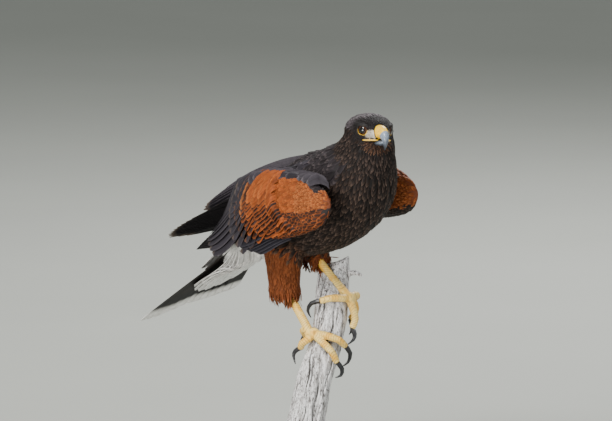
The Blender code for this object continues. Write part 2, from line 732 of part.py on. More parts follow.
def tail_fan(lengths, half_angles, half_width, level, step, arch):
    """A fan of tail feathers. level is the middle feather's height, step the fall of each one further out."""
    back, right, up = tail_frame()
    made = []
    count = len(lengths)
    for k, length in enumerate(lengths):
        share = 2 * k / (count - 1) - 1
        angle = half_angles[1 if share > 0 else -1] * share
        along = back * math.cos(angle) + right * math.sin(angle)
        across = right * math.cos(angle) - back * math.sin(angle)
        height = level + step * abs(share) * (count - 1) / 2 + (0.0005 if k % 2 else -0.0005) * (step != 0)
        start = TAIL_ROOT + right * (0.010 * share) - back * 0.002
        spine = []
        for t in VANE_STEPS:
            swell = arch * math.sin(math.pi * min(1.0, t * 1.1)) ** 2
            spine.append(start + along * (length * t) + up * (height * ease(t / 0.35) + swell))
        steps = len(VANE_STEPS)
        made.append(vane("rectrix", spine, [across] * steps, [up] * steps, half_width, hollowed=0.0))
    return made


def build_tail():
    """The tail: twelve fanned feathers with long coverts below and shorter ones above."""
    back, right, up = tail_frame()
    rings = [oval(TAIL_ROOT + back * along, right, up, wide, deep, deep, 14)
             for along, wide, deep in smooth_rows([list(s) for s in TAIL_CORE_STATIONS])]
    tail = loft("tail", rings)
    middle = (TAIL_FEATHERS - 1) / 2
    lengths = [TAIL_LENGTH - TAIL_OUTER_SHORTER * (abs(k - middle) / middle) ** 2 for k in range(TAIL_FEATHERS)]
    feathers = tail_fan(lengths, TAIL_HALF_FAN, 0.0125, 0.004, -0.0011, 0.0)
    feathers += tail_fan(TAIL_COVERT_LENGTHS, TAIL_COVERT_FAN, 0.0120, -0.0065, 0.0005, -0.006)
    feathers += tail_fan(RUMP_COVERT_LENGTHS, TAIL_COVERT_FAN, 0.0110, 0.0080, -0.0006, 0.003)
    fuse(tail, feathers)
    return finish(tail, "tail", PLUMAGE)


# Legs

def leg_side():
    """The level direction across the legs, to the bird's right."""
    return right_of(heading(TRUNK_HEADING))


def build_thigh(label, draw):
    """A feathered thigh whose long loose feathers hang over the top of the shank."""
    side = leg_side()
    forward = heading(TRUNK_HEADING)
    rows = smooth_rows([[*c, w, d] for c, w, d in THIGHS[label]])
    rings = [oval(Vector(row[:3]), side, forward, row[3], row[4], row[4], 14) for row in rows]
    thigh = loft("thigh", rings)
    low = Vector(THIGHS[label][-1][0])
    high = Vector(THIGHS[label][-3][0])
    wide, deep = THIGHS[label][-3][1:]
    locks = []
    for k in range(TROUSER_LOCKS):
        angle = 2 * math.pi * (k + 0.5) / TROUSER_LOCKS
        out = side * math.cos(angle) + forward * math.sin(angle)
        root = high + side * (math.cos(angle) * (wide - 0.003)) + forward * (math.sin(angle) * (deep - 0.003))
        drop = (high.z - low.z) * draw.uniform(1.0, 1.25)
        drift = (low - high) * 0.30
        spine = [root + out * (0.005 * math.sin(math.pi * t)) + Vector((drift.x * t, drift.y * t, -drop * t))
                 - out * (0.006 * t * t) for t in VANE_STEPS]
        across = out.cross(UP).normalized()
        steps = len(VANE_STEPS)
        locks.append(vane("lock", spine, [across] * steps, [out] * steps, 0.0065, 0.0, 0.0012))
    fuse(thigh, locks)
    return thigh


def build_leg(label, torso, branch, draw):
    """A thigh, shank, four toes and four claws, each trimmed to what it grows from or grips."""
    thigh = build_thigh(label, draw)
    trim(thigh, [torso, branch])
    shank = tube("shank", [Vector(p) for p in SHANKS[label]], SHANK_RADII, 2)
    height, angle = FOOT_ANGLES[label]
    pad = ball("pad", branch_place(height, angle, FOOT_PAD_RADIUS * 0.62), FOOT_PAD_RADIUS, 12, 8)
    fuse(shank, [pad])
    trim(shank, [branch])
    trim(thigh, [shank])
    finish(thigh, label + "_thigh", RUFOUS)
    finish(shank, label + "_shank", YELLOW_SKIN)
    pad_centre = branch_place(height, angle, FOOT_PAD_RADIUS * 0.62)
    done = []
    for name, (toe_run, claw_run) in TOES[label].items():
        places = [pad_centre] + [branch_place(h, a, TOE_RADII[0] + rise)
                                 for (h, a), rise in zip(toe_run, TOE_ARCH)]
        rows = smooth_rows([[*p, r] for p, r in zip(places, (TOE_RADII[0], *TOE_RADII))], 1)
        toe = tube("toe", [Vector(row[:3]) for row in rows], [row[3] for row in rows], 2)
        tip = places[-1]
        claw_places = [tip] + [branch_place(h, a, TOE_RADII[2] + rise) for (h, a), rise in zip(claw_run, CLAW_ARCH)]
        claw_rows = smooth_rows([[*p, r] for p, r in zip(claw_places, CLAW_RADII)], 1)
        claw = tube("claw", [Vector(row[:3]) for row in claw_rows], [row[3] for row in claw_rows], 1)
        trim(toe, [branch, shank, *done])
        trim(claw, [branch, toe, *done])
        finish(toe, f"{label}_toe_{name}", YELLOW_SKIN)
        finish(claw, f"{label}_claw_{name}", CLAW_HORN)
        done += [toe, claw]
    return thigh


# Perch and stand

def branch_frame(height):
    """The branch's middle, its half width and depth, and the directions to its right and its front."""
    rows = smooth_rows([[*c, w, d] for c, w, d in BRANCH_PATH], 3)
    height = min(max(height, rows[0][2]), rows[-1][2])
    for low, high in zip(rows, rows[1:]):
        if height <= high[2]:
            share = (height - low[2]) / (high[2] - low[2])
            middle = Vector(low[:3]).lerp(Vector(high[:3]), share)
            sizes = [between((a, b), share) for a, b in zip(low[3:], high[3:])]
            along = (Vector(high[:3]) - Vector(low[:3])).normalized()
            break
    front = Vector((0, -1, 0))
    front = (front - along * front.dot(along)).normalized()
    return middle, sizes, along.cross(front), front


def branch_place(height, angle, lift):
    """A place beside the branch: its height, its angle round from the viewer's side, and its lift off the wood."""
    middle, (wide, deep), right, front = branch_frame(height)
    turned = math.radians(angle)
    return middle + front * (math.cos(turned) * (deep + lift)) + right * (math.sin(turned) * (wide + lift))


def build_branch():
    """The dead branch: ridged, broken off askew at the top, sawn level below, with one side twig."""
    draw = random.Random(SEED)
    ridges = [draw.uniform(-1, 1) for _ in range(BRANCH_SIDES)]
    rows = smooth_rows([[*c, w, d] for c, w, d in BRANCH_PATH], 1)
    rings = []
    last = len(rows) - 1
    for i, row in enumerate(rows):
        height = row[2]
        middle, (wide, deep), right, front = branch_frame(height)
        ring = []
        for k in range(BRANCH_SIDES):
            angle = 2 * math.pi * k / BRANCH_SIDES
            rough = 1 - BRANCH_ROUGHNESS / 2 + BRANCH_ROUGHNESS * (0.5 * ridges[k] + 0.5 * draw.uniform(-1, 1))
            point = middle + (front * (math.cos(angle) * deep) + right * (math.sin(angle) * wide)) * rough
            if i == 0:
                point.z = height
            if i == last:
                point.z = height + TOP_SLOPE[0 if math.sin(angle) < 0 else 1] * abs(math.sin(angle)) \
                    - TOP_NOTCH * math.exp(-((math.degrees(angle) - 320) / 28) ** 2) + 0.002 * draw.uniform(-1, 1)
            ring.append(point)
        rings.append(ring)
    branch = loft("branch", rings)
    twig = tube("twig", [Vector(p) for p in TWIG_POINTS], TWIG_RADII, 2)
    fuse(branch, [twig])
    return finish(branch, "perch_branch", GREY_WOOD)


def build_stand():
    """The flat round base and the rod that rises from it to the branch's sawn end."""
    bpy.ops.mesh.primitive_cylinder_add(vertices=48, radius=BASE_RADIUS, depth=BASE_HEIGHT,
                                        location=(0, 0, BASE_HEIGHT / 2))
    base = bpy.context.object
    bevel = base.modifiers.new("edge", "BEVEL")
    bevel.width = BASE_BEVEL
    bevel.segments = 2
    bevel.angle_limit = math.radians(50)
    finish(base, "stand_base", STAND_WOOD)
    x, y, low = BRANCH_PATH[0][0]
    bottom, top = BASE_HEIGHT + REST_GAP, low - REST_GAP
    bpy.ops.mesh.primitive_cylinder_add(vertices=20, radius=ROD_RADIUS, depth=top - bottom,
                                        location=(x, y, (bottom + top) / 2))
    finish(bpy.context.object, "stand_rod", ROD_METAL)


def main():
    draw = random.Random(SEED)
    whole = fuse(trunk_body(), [head_body()])
    build_head(whole)
    torso = build_trunk(whole)
    branch = build_branch()
    fixed = [torso] + [build_leg(label, torso, branch, draw) for label in ("right", "left")]
    tail = build_tail()
    trim(tail, fixed)
    left_wing = build_wing(-1, "left")
    trim(left_wing, [*fixed, tail])
    right_wing = build_wing(1, "right")
    trim(right_wing, [*fixed, tail, left_wing])
    build_stand()


for old in list(bpy.data.objects):
    bpy.data.objects.remove(old)
PARTS = bpy.data.collections.new("harris_hawk")
CUTTERS = bpy.data.collections.new("cutters")
bpy.context.scene.collection.children.link(PARTS)
bpy.context.scene.collection.children.link(CUTTERS)
bpy.context.view_layer.active_layer_collection = bpy.context.view_layer.layer_collection.children[PARTS.name]
main()
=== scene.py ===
"""A harris hawk on a dead branch: its skin, feathers, bare parts, wood and stand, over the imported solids."""

import logging
import math
from dataclasses import dataclass, field
from enum import Enum
from itertools import product
from typing import Callable, Iterable, Sequence

import bmesh
import bpy
import numpy as np
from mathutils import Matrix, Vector
from mathutils.bvhtree import BVHTree


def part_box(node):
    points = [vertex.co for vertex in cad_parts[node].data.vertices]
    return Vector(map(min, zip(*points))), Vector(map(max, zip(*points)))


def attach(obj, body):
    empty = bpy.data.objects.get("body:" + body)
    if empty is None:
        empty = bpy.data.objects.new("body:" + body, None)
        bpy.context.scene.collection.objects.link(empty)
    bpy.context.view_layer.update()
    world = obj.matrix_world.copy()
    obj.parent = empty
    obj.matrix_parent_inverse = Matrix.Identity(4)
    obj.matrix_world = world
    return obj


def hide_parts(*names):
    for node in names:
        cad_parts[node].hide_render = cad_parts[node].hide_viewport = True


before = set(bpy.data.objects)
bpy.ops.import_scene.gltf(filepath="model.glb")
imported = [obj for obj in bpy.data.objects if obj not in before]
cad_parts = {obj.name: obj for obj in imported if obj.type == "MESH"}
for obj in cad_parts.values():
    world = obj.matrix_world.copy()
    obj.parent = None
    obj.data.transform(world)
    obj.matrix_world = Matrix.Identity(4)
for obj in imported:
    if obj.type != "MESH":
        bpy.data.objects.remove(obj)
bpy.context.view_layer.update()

LOG = logging.getLogger("hawk")
UP = Vector((0, 0, 1))
BAKE_MAP = "OFBake"
TUFT_PATCH = 0.003
CELL = 0.1
CELLS_ACROSS = 10
CELL_MARGIN = 0.005
HEAD_REACH = 0.045
WRISTS = (0.080, -0.053, 0.3690)
FLESH = ("head", "neck", "torso", "right_thigh", "left_thigh")
RUFOUS_TRACTS = ("legging", "hem", "lesser", "lesser_mid", "lesser_low")
Colour = tuple[float, float, float]


def ease(share: float) -> float:
    """A share from 0 to 1, clamped, that starts and ends gently."""
    share = min(1.0, max(0.0, share))
    return share * share * (3 - 2 * share)


def smoothed(share: np.ndarray) -> np.ndarray:
    """The same gentle share for an array."""
    share = np.clip(share, 0, 1)
    return share * share * (3 - 2 * share)


def between(pair: Sequence[float], share: float) -> float:
    """The value that lies the given share of the way through a pair."""
    return pair[0] + (pair[1] - pair[0]) * share


def spread(values: Sequence[float], share: float) -> float:
    """A value read at a share of the way along evenly spaced ones."""
    return float(np.interp(share, np.linspace(0, 1, len(values)), values))


def heading(degrees: float) -> Vector:
    """The level direction that turns from +X towards -Y by the angle."""
    angle = math.radians(degrees)
    return Vector((math.cos(angle), -math.sin(angle), 0))


def right_of(forward: Vector) -> Vector:
    """The level direction to the right of a forward direction."""
    return Vector((forward.y, -forward.x, 0)).normalized()


def read_table(rows: Sequence[Sequence[float]], at: float) -> list[float]:
    """Reads a table of stations at a place along its first column.

    Args:
        rows: stations, each a place followed by its values.
        at: the place to read.
    Returns:
        The values there, read in a straight line between the nearest stations.
    """
    at = min(max(at, rows[0][0]), rows[-1][0])
    for low, high in zip(rows, rows[1:]):
        if at <= high[0]:
            share = (at - low[0]) / (high[0] - low[0])
            return [a + (b - a) * share for a, b in zip(low[1:], high[1:])]
    return list(rows[-1][1:])


def rounded_rows(rows: Sequence[Sequence[float]], extra: int) -> list[list[float]]:
    """Puts extra rows between rows of numbers, on a Catmull-Rom curve.

    Args:
        rows: the rows that the curve passes through.
        extra: how many rows go between each pair.
    Returns:
        All the rows in order.
    """
    found = []
    last = len(rows) - 1
    for i in range(last):
        near = np.array([rows[max(i - 1, 0)], rows[i], rows[i + 1], rows[min(i + 2, last)]], float)
        for k in range(extra + 1):
            t = k / (extra + 1)
            weights = np.array(((-t + 2 * t * t - t ** 3) / 2, (2 - 5 * t * t + 3 * t ** 3) / 2,
                                (t + 4 * t * t - 3 * t ** 3) / 2, (-t * t + t ** 3) / 2))
            found.append(list(weights @ near))
    found.append([float(v) for v in rows[-1]])
    return found


class Hand(Enum):
    """The bird's own right or left, with the sign of its side."""

    RIGHT = 1
    LEFT = -1

    @property
    def label(self) -> str:
        """The word that node names begin with."""
        return self.name.lower()


class Socket:
    """A shader value that can be written in sums: each operator adds its Math node."""

    def __init__(self, shader: "Shader", link: bpy.types.NodeSocket) -> None:
        """Keeps the shader that the value belongs to and the socket it comes out of."""
        self.shader = shader
        self.link = link

    def _maths(self, operation: str, *values: object) -> "Socket":
        """Adds one Math node for an operation on values."""
        return self.shader.node("ShaderNodeMath", {"operation": operation}, dict(enumerate(values)))

    def __add__(self, other: object) -> "Socket":
        """This value plus another."""
        return self._maths("ADD", self, other)

    def __sub__(self, other: object) -> "Socket":
        """This value minus another."""
        return self._maths("SUBTRACT", self, other)

    def __rsub__(self, other: object) -> "Socket":
        """Another value minus this one."""
        return self._maths("SUBTRACT", other, self)

    def __mul__(self, other: object) -> "Socket":
        """This value times another."""
        return self._maths("MULTIPLY", self, other)

    def __pow__(self, other: object) -> "Socket":
        """This value to a power."""
        return self._maths("POWER", self, other)

    def __abs__(self) -> "Socket":
        """This value without its sign."""
        return self._maths("ABSOLUTE", self)

    __radd__, __rmul__ = __add__, __mul__

    def sine(self) -> "Socket":
        """The sine of this value in radians."""
        return self._maths("SINE", self)

    def wrapped(self) -> "Socket":
        """What is left of this value after its whole part."""
        return self._maths("FRACT", self)

    def step(self, low: float, high: float) -> "Socket":
        """A smooth step from 0 below the low value to 1 above the high one."""
        return self.shader.node("ShaderNodeMapRange", {"interpolation_type": "SMOOTHSTEP"},
                                {"Value": self, "From Min": low, "From Max": high})


class Shader:
    """A Principled material whose nodes are added in code."""

    def __init__(self, name: str, **fixed: float) -> None:
        """Starts a material and sets the shader values that are the same all over."""
        self.material = bpy.data.materials.new(name)
        self.material.use_nodes = True
        self.tree = self.material.node_tree
        self.main = self.tree.nodes["Principled BSDF"]
        for socket, value in fixed.items():
            self.main.inputs[socket.replace("_", " ")].default_value = value

    def node(self, kind: str, settings: dict | None = None, values: dict | None = None,
             out: object = 0) -> Socket:
        """Adds a node.

        Args:
            kind: the node's type.
            settings: its own settings, and a ramp's stops under the key "stops".
            values: numbers, colours or Sockets for its inputs, by name or place.
            out: the output wanted.
        Returns:
            That output as a Socket.
        """
        made = self.tree.nodes.new(kind)
        for key, value in (settings or {}).items():
            if key == "stops":
                for _ in range(len(value) - 2):
                    made.color_ramp.elements.new(0.5)
                for element, (place, colour) in zip(made.color_ramp.elements, value):
                    element.position = place
                    element.color = (*colour, 1)
            else:
                setattr(made, key, value)
        for key, value in (values or {}).items():
            self.feed(made.inputs[key], value)
        return Socket(self, made.outputs[out])

    def feed(self, into: bpy.types.NodeSocket, value: object) -> None:
        """Links a Socket into an input, or sets the input's own value."""
        if isinstance(value, Socket):
            self.tree.links.new(value.link, into)
        elif isinstance(value, tuple) and len(value) == 3 and into.type == "RGBA":
            into.default_value = (*value, 1)
        else:
            into.default_value = value

    def set(self, **values: Socket) -> "Shader":
        """Feeds Sockets to the Principled shader's inputs."""
        for socket, value in values.items():
            self.feed(self.main.inputs[socket.replace("_", " ")], value)
        return self

    def place(self, scale: Sequence[float] = (1, 1, 1)) -> Socket:
        """Object coordinates, stretched by a scale."""
        coordinates = self.node("ShaderNodeTexCoord", out="Object")
        return self.node("ShaderNodeMapping", {}, {"Vector": coordinates, "Scale": tuple(scale)})

    def noise(self, scale: float, detail: float = 3.0, vector: Socket | None = None,
              rough: float = 0.55) -> Socket:
        """Soft noise on the object's own coordinates."""
        return self.node("ShaderNodeTexNoise", {}, {"Vector": vector or self.place(), "Scale": scale,
                                                    "Detail": detail, "Roughness": rough})

    def attribute(self, name: str, out: str = "Fac") -> Socket:
        """A value that the mesh carries."""
        return self.node("ShaderNodeAttribute", {"attribute_name": name}, out=out)

    def mix(self, share: object, low: object, high: object, blend: str = "MIX") -> Socket:
        """Mixes two colours."""
        return self.node("ShaderNodeMix", {"data_type": "RGBA", "blend_type": blend},
                         {0: share, 6: low, 7: high}, out=2)

    def shaded(self, tint: Socket, shade: Socket) -> Socket:
        """A colour made lighter or darker by a grey."""
        grey = self.node("ShaderNodeCombineColor", {}, {0: shade, 1: shade, 2: shade})
        return self.mix(1.0, tint, grey, "MULTIPLY")

    def away(self, start: Vector) -> Socket:
        """The distance from a place, in metres."""
        coordinates = self.node("ShaderNodeTexCoord", out="Object")
        return self.node("ShaderNodeVectorMath", {"operation": "DISTANCE"},
                         {0: coordinates, 1: tuple(start)}, out="Value")

    def ramp(self, share: Socket, stops: Sequence[tuple[float, Colour]]) -> Socket:
        """Colours along a ramp."""
        return self.node("ShaderNodeValToRGB", {"stops": stops}, {"Fac": share}, out="Color")

    def bump(self, height: Socket, distance: float, strength: float = 1.0) -> Socket:
        """A normal from a height in metres."""
        return self.node("ShaderNodeBump", {}, {"Height": height, "Distance": distance, "Strength": strength})


@dataclass(frozen=True)
class PlumageFinish:
    """Feathers: the colour that the mesh carries, with barbs, a shaft and a faint mottle."""

    name: str = "plumage"
    roughness: float = 0.62
    barbs: float = 34.0
    barb_depth: float = 0.00012

    def made(self) -> bpy.types.Material:
        """The finished material."""
        shader = Shader(self.name, Roughness=self.roughness, Specular_IOR_Level=0.14)
        tint = shader.attribute("tint", "Color")
        along, across = shader.attribute("along"), shader.attribute("across")
        barb = ((along * self.barbs + abs(across) * -7.0) * math.tau).sine() * 0.5 + 0.5
        mottle = shader.noise(240.0, 2.0)
        shade = barb * 0.22 + mottle * 0.7 + 0.50
        shaft = 1.0 - abs(across).step(0.0, 0.16)
        colour = shader.mix(shaft * 0.35, shader.shaded(tint, shade), (0.012, 0.008, 0.006))
        height = barb * 0.35 + shaft * 0.65
        return shader.set(Base_Color=colour, Roughness=mottle * 0.16 + (self.roughness - 0.08),
                          Normal=shader.bump(height, self.barb_depth)).material


@dataclass(frozen=True)
class SkinFinish:
    """The skin under the feathers and the bare skin of the face, in the colour that the mesh carries."""

    name: str = "skin"

    def made(self) -> bpy.types.Material:
        """The finished material."""
        shader = Shader(self.name, Specular_IOR_Level=0.3)
        tint = shader.attribute("tint", "Color")
        bare = shader.attribute("bare")
        grain = shader.noise(900.0, 3.0)
        mottle = shader.noise(160.0, 4.0)
        return shader.set(Base_Color=shader.shaded(tint, mottle * 0.5 + 0.75), Roughness=0.72 - bare * 0.30,
                          Normal=shader.bump(grain + mottle, 0.0003)).material


@dataclass(frozen=True)
class HornFinish:
    """Bill or claw horn that darkens towards its tip."""

    name: str
    base: Colour
    tip: Colour
    start: Vector = field(hash=False)
    reach: float = 0.02
    roughness: float = 0.28

    def made(self) -> bpy.types.Material:
        """The finished material."""
        shader = Shader(self.name, Specular_IOR_Level=0.5, Coat_Weight=0.25, Coat_Roughness=0.2)
        away = shader.away(self.start)
        streaks = shader.noise(500.0, 4.0, shader.place((1, 1, 0.25)))
        dark = (away * (1 / self.reach) + streaks * 0.35 + -0.17).step(0.30, 1.0)
        colour = shader.mix(dark, self.base, self.tip)
        return shader.set(Base_Color=shader.mix(streaks * 0.35, colour, self.tip),
                          Roughness=streaks * 0.25 + self.roughness - 0.1,
                          Normal=shader.bump(streaks, 0.00012)).material


@dataclass(frozen=True)
class ScaleFinish:
    """Yellow leg skin with plates across the front of the shank and the tops of the toes."""

    name: str = "leg_scales"
    pale: Colour = (0.92, 0.66, 0.20)
    deep: Colour = (0.86, 0.42, 0.018)

    def made(self) -> bpy.types.Material:
        """The finished material."""
        shader = Shader(self.name, Specular_IOR_Level=0.4)
        course = shader.attribute("course")
        top = shader.attribute("top")
        plate = (course * 430.0).wrapped()
        groove = 1.0 - abs(plate + -0.5).step(0.34, 0.5)
        cell = shader.node("ShaderNodeTexVoronoi", {"feature": "DISTANCE_TO_EDGE"},
                           {"Vector": shader.place(), "Scale": 650.0}, out="Distance")
        pebbles = cell.step(0.02, 0.16)
        plates = top.step(0.30, 0.55)
        relief = groove * plates + pebbles * (1.0 - plates)
        mottle = shader.noise(95.0, 4.0)
        tone = mottle.step(0.36, 0.66)
        worn = shader.mix(tone * 0.8, self.pale, self.deep)
        colour = shader.mix(1.0 - relief, worn, (0.20, 0.10, 0.03))
        return shader.set(Base_Color=shader.mix(0.55, worn, colour), Roughness=0.62 - relief * 0.2,
                          Normal=shader.bump(relief, 0.0004)).material


@dataclass(frozen=True)
class WoodFinish:
    """Dead wood bleached grey, with cracks that run up it, coloured near black: their own darker wood deepened
    by painted shade.
    """

    name: str = "weathered_wood"

    def made(self) -> bpy.types.Material:
        """The finished material."""
        shader = Shader(self.name, Specular_IOR_Level=0.25)
        long = shader.place((1.0, 1.0, 0.10))
        grain = shader.noise(330.0, 6.0, long, 0.62)
        fine = shader.noise(1500.0, 4.0, shader.place((1.0, 1.0, 0.07)), 0.6)
        blotch = shader.noise(26.0, 4.0)
        furrow = shader.attribute("furrow")
        stops = ((0.36, (0.020, 0.017, 0.016)), (0.43, (0.30, 0.28, 0.27)),
                 (0.52, (0.74, 0.725, 0.72)), (0.85, (0.90, 0.885, 0.88)))
        pale = shader.ramp(grain * 0.6 + fine * 0.4, stops)
        stained = shader.mix(blotch.step(0.55, 0.85) * 0.35, pale, (0.45, 0.37, 0.30))
        fleck = shader.noise(520.0, 3.0, shader.place((1.0, 1.0, 0.30)), 0.6).step(0.56, 0.62)
        flecked = shader.mix(fleck * 0.85, stained, (0.040, 0.033, 0.030))
        # The furrows go near black: the cracks' darker wood plus painted shade in the recesses.
        cracks_painted_shade = shader.mix(furrow.step(0.30, 0.80), flecked, (0.016, 0.013, 0.012))
        return shader.set(Base_Color=cracks_painted_shade, Roughness=0.93 - grain * 0.2,
                          Normal=shader.bump(grain * 0.7 + fine * 0.3, 0.0012)).material


@dataclass(frozen=True)
class EyeFinish:
    """An eye: dark pupil, brown iris with fine spokes, and a wet clear coat."""

    name: str
    centre: Vector = field(hash=False)
    axis: Vector = field(hash=False)
    radius: float = 0.0077

    def made(self) -> bpy.types.Material:
        """The finished material."""
        shader = Shader(self.name, Roughness=0.10, Coat_Weight=0.35, Coat_Roughness=0.02,
                        Specular_IOR_Level=0.35)
        away = shader.away(self.centre + self.axis * self.radius) * (1 / self.radius)
        spokes = shader.noise(1400.0, 3.0)
        iris = shader.mix(spokes, (0.022, 0.007, 0.003), (0.075, 0.024, 0.006))
        rim = shader.mix(away.step(0.84, 1.00), iris, (0.010, 0.006, 0.004))
        colour = shader.mix(1.0 - away.step(0.50, 0.56), rim, (0.002, 0.002, 0.002))
        return shader.set(Base_Color=colour).material


@dataclass(frozen=True)
class StandWoodFinish:
    """Dark stained timber of the round base, its grain running along X."""

    name: str = "base_timber"

    def made(self) -> bpy.types.Material:
        """The finished material."""
        shader = Shader(self.name, Specular_IOR_Level=0.45, Coat_Weight=0.2, Coat_Roughness=0.35)
        grain = shader.noise(60.0, 6.0, shader.place((0.12, 1.0, 1.0)), 0.6)
        fine = shader.noise(420.0, 4.0, shader.place((0.06, 1.0, 1.0)), 0.6)
        stops = ((0.30, (0.030, 0.017, 0.010)), (0.52, (0.075, 0.042, 0.024)), (0.75, (0.13, 0.078, 0.046)))
        return shader.set(Base_Color=shader.ramp(grain * 0.7 + fine * 0.3, stops), Roughness=fine * 0.25 + 0.32,
                          Normal=shader.bump(fine, 0.0003)).material


@dataclass(frozen=True)
class RodFinish:
    """Brushed steel of the short rod."""

    name: str = "rod_steel"

    def made(self) -> bpy.types.Material:
        """The finished material."""
        shader = Shader(self.name, Metallic=1.0)
        brushed = shader.noise(900.0, 3.0, shader.place((1.0, 1.0, 0.02)))
        return shader.set(Base_Color=shader.mix(brushed, (0.38, 0.38, 0.39), (0.58, 0.58, 0.59)),
                          Roughness=brushed * 0.25 + 0.22, Normal=shader.bump(brushed, 0.0001)).material


class Bench:
    """The modelling moves that every piece shares."""

    @staticmethod
    def clear() -> None:
        """Deselects everything and leaves edit mode."""
        if bpy.context.object and bpy.context.object.mode != "OBJECT":
            bpy.ops.object.mode_set(mode="OBJECT")
        bpy.ops.object.select_all(action="DESELECT")

    @classmethod
    def pick(cls, *pieces: bpy.types.Object) -> None:
        """Selects pieces only, the first one active."""
        cls.clear()
        for piece in pieces:
            piece.select_set(True)
        bpy.context.view_layer.objects.active = pieces[0]

    @classmethod
    def edit(cls, piece: bpy.types.Object, *moves: Callable[[], object]) -> bpy.types.Object:
        """Runs edit-mode operators on the whole of a piece."""
        cls.pick(piece)
        bpy.ops.object.mode_set(mode="EDIT")
        bpy.ops.mesh.select_all(action="SELECT")
        for move in moves:
            move()
        bpy.ops.object.mode_set(mode="OBJECT")
        return piece

    @classmethod
    def apply(cls, piece: bpy.types.Object, kind: str, **settings: object) -> bpy.types.Object:
        """Adds one modifier with its settings and applies it."""
        cls.pick(piece)
        modifier = piece.modifiers.new(kind.title(), kind)
        for key, value in settings.items():
            setattr(modifier, key, value)
        bpy.ops.object.modifier_apply(modifier=modifier.name)
        return piece

    @classmethod
    def copied(cls, name: str, *nodes: str) -> bpy.types.Object:
        """Copies CAD nodes into one new piece with their loose triangles merged."""
        pieces = []
        for node in nodes:
            piece = bpy.data.objects.new(name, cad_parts[node].data.copy())
            bpy.context.scene.collection.objects.link(piece)
            pieces.append(piece)
        return cls.edit(cls.joined(name, pieces), lambda: bpy.ops.mesh.remove_doubles(threshold=1e-6))

    @classmethod
    def joined(cls, name: str, pieces: Sequence[bpy.types.Object]) -> bpy.types.Object:
        """Joins pieces into one and names it."""
        cls.pick(*pieces)
        if len(pieces) > 1:
            bpy.ops.object.join()
        piece = bpy.context.object
        piece.name = name
        piece.data.name = name
        piece.data.materials.clear()
        return piece

    @classmethod
    def rounded(cls, piece: bpy.types.Object, voxel: float, passes: int) -> bpy.types.Object:
        """Remeshes a piece in even quads and smooths its facets away."""
        cls.apply(piece, "REMESH", mode="VOXEL", voxel_size=voxel, use_smooth_shade=True)
        return cls.apply(piece, "SMOOTH", iterations=passes, factor=0.5)

    @classmethod
    def tube(cls, name: str, centres: Sequence[Vector], across: Sequence[Vector], up: Sequence[Vector],
             sizes: Sequence[tuple[float, float, float]], sides: int = 32) -> bpy.types.Object:
        """Bends a cylinder round a line of ovals and closes its ends.

        Args:
            name: the piece's name.
            centres: the middle of each oval.
            across: the direction of each one's width.
            up: the direction of each one's height.
            sizes: each one's half width, height above its centre and depth below it.
            sides: points round each oval.
        Returns:
            The closed piece.
        """
        cls.clear()
        bpy.ops.mesh.primitive_grid_add(x_subdivisions=sides, y_subdivisions=len(centres) - 1, size=1)
        piece = bpy.context.object
        points = []
        for centre, side, rise, (wide, above, below) in zip(centres, across, up, sizes):
            for k in range(sides + 1):
                angle = math.tau * (k % sides) / sides
                lift = math.sin(angle)
                high = lift * (above if lift > 0 else below)
                points.append(centre + side * (wide * math.cos(angle)) + rise * high)
        piece.data.vertices.foreach_set("co", np.array(points, np.float32).ravel())
        piece.name = name
        return cls.edit(piece, lambda: bpy.ops.mesh.remove_doubles(threshold=1e-7),
                        lambda: bpy.ops.mesh.fill_holes(sides=0),
                        lambda: bpy.ops.mesh.normals_make_consistent(inside=False))

    @staticmethod
    def read(mesh: bpy.types.Mesh) -> tuple[np.ndarray, np.ndarray]:
        """A mesh's places and normals, a row each."""
        found = np.empty((2, len(mesh.vertices) * 3), np.float32)
        for row, label in zip(found, ("co", "normal")):
            mesh.vertices.foreach_get(label, row)
        return found[0].reshape(-1, 3), found[1].reshape(-1, 3)

    @staticmethod
    def mark(mesh: bpy.types.Mesh, **values: np.ndarray) -> None:
        """Keeps named values with a mesh, one a point, or four a point for a colour."""
        for name, value in values.items():
            value = np.ascontiguousarray(value, np.float32)
            colour = value.size == 4 * len(mesh.vertices)
            kind, label = ("FLOAT_COLOR", "color") if colour else ("FLOAT", "value")
            mesh.attributes.new(name, kind, "POINT").data.foreach_set(label, value.ravel())

    @staticmethod
    def dress(piece: bpy.types.Object, finish: object, slot: str, *nodes: str) -> bpy.types.Object:
        """Gives a piece its material, sets it on the frame and hides the nodes that it stands for."""
        piece.data.materials.clear()
        piece.data.materials.append(finish.made())
        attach(piece, "root")
        if nodes:
            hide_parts(*nodes)
        LOG.info("%s: %d faces", piece.name, len(piece.data.polygons))
        return piece


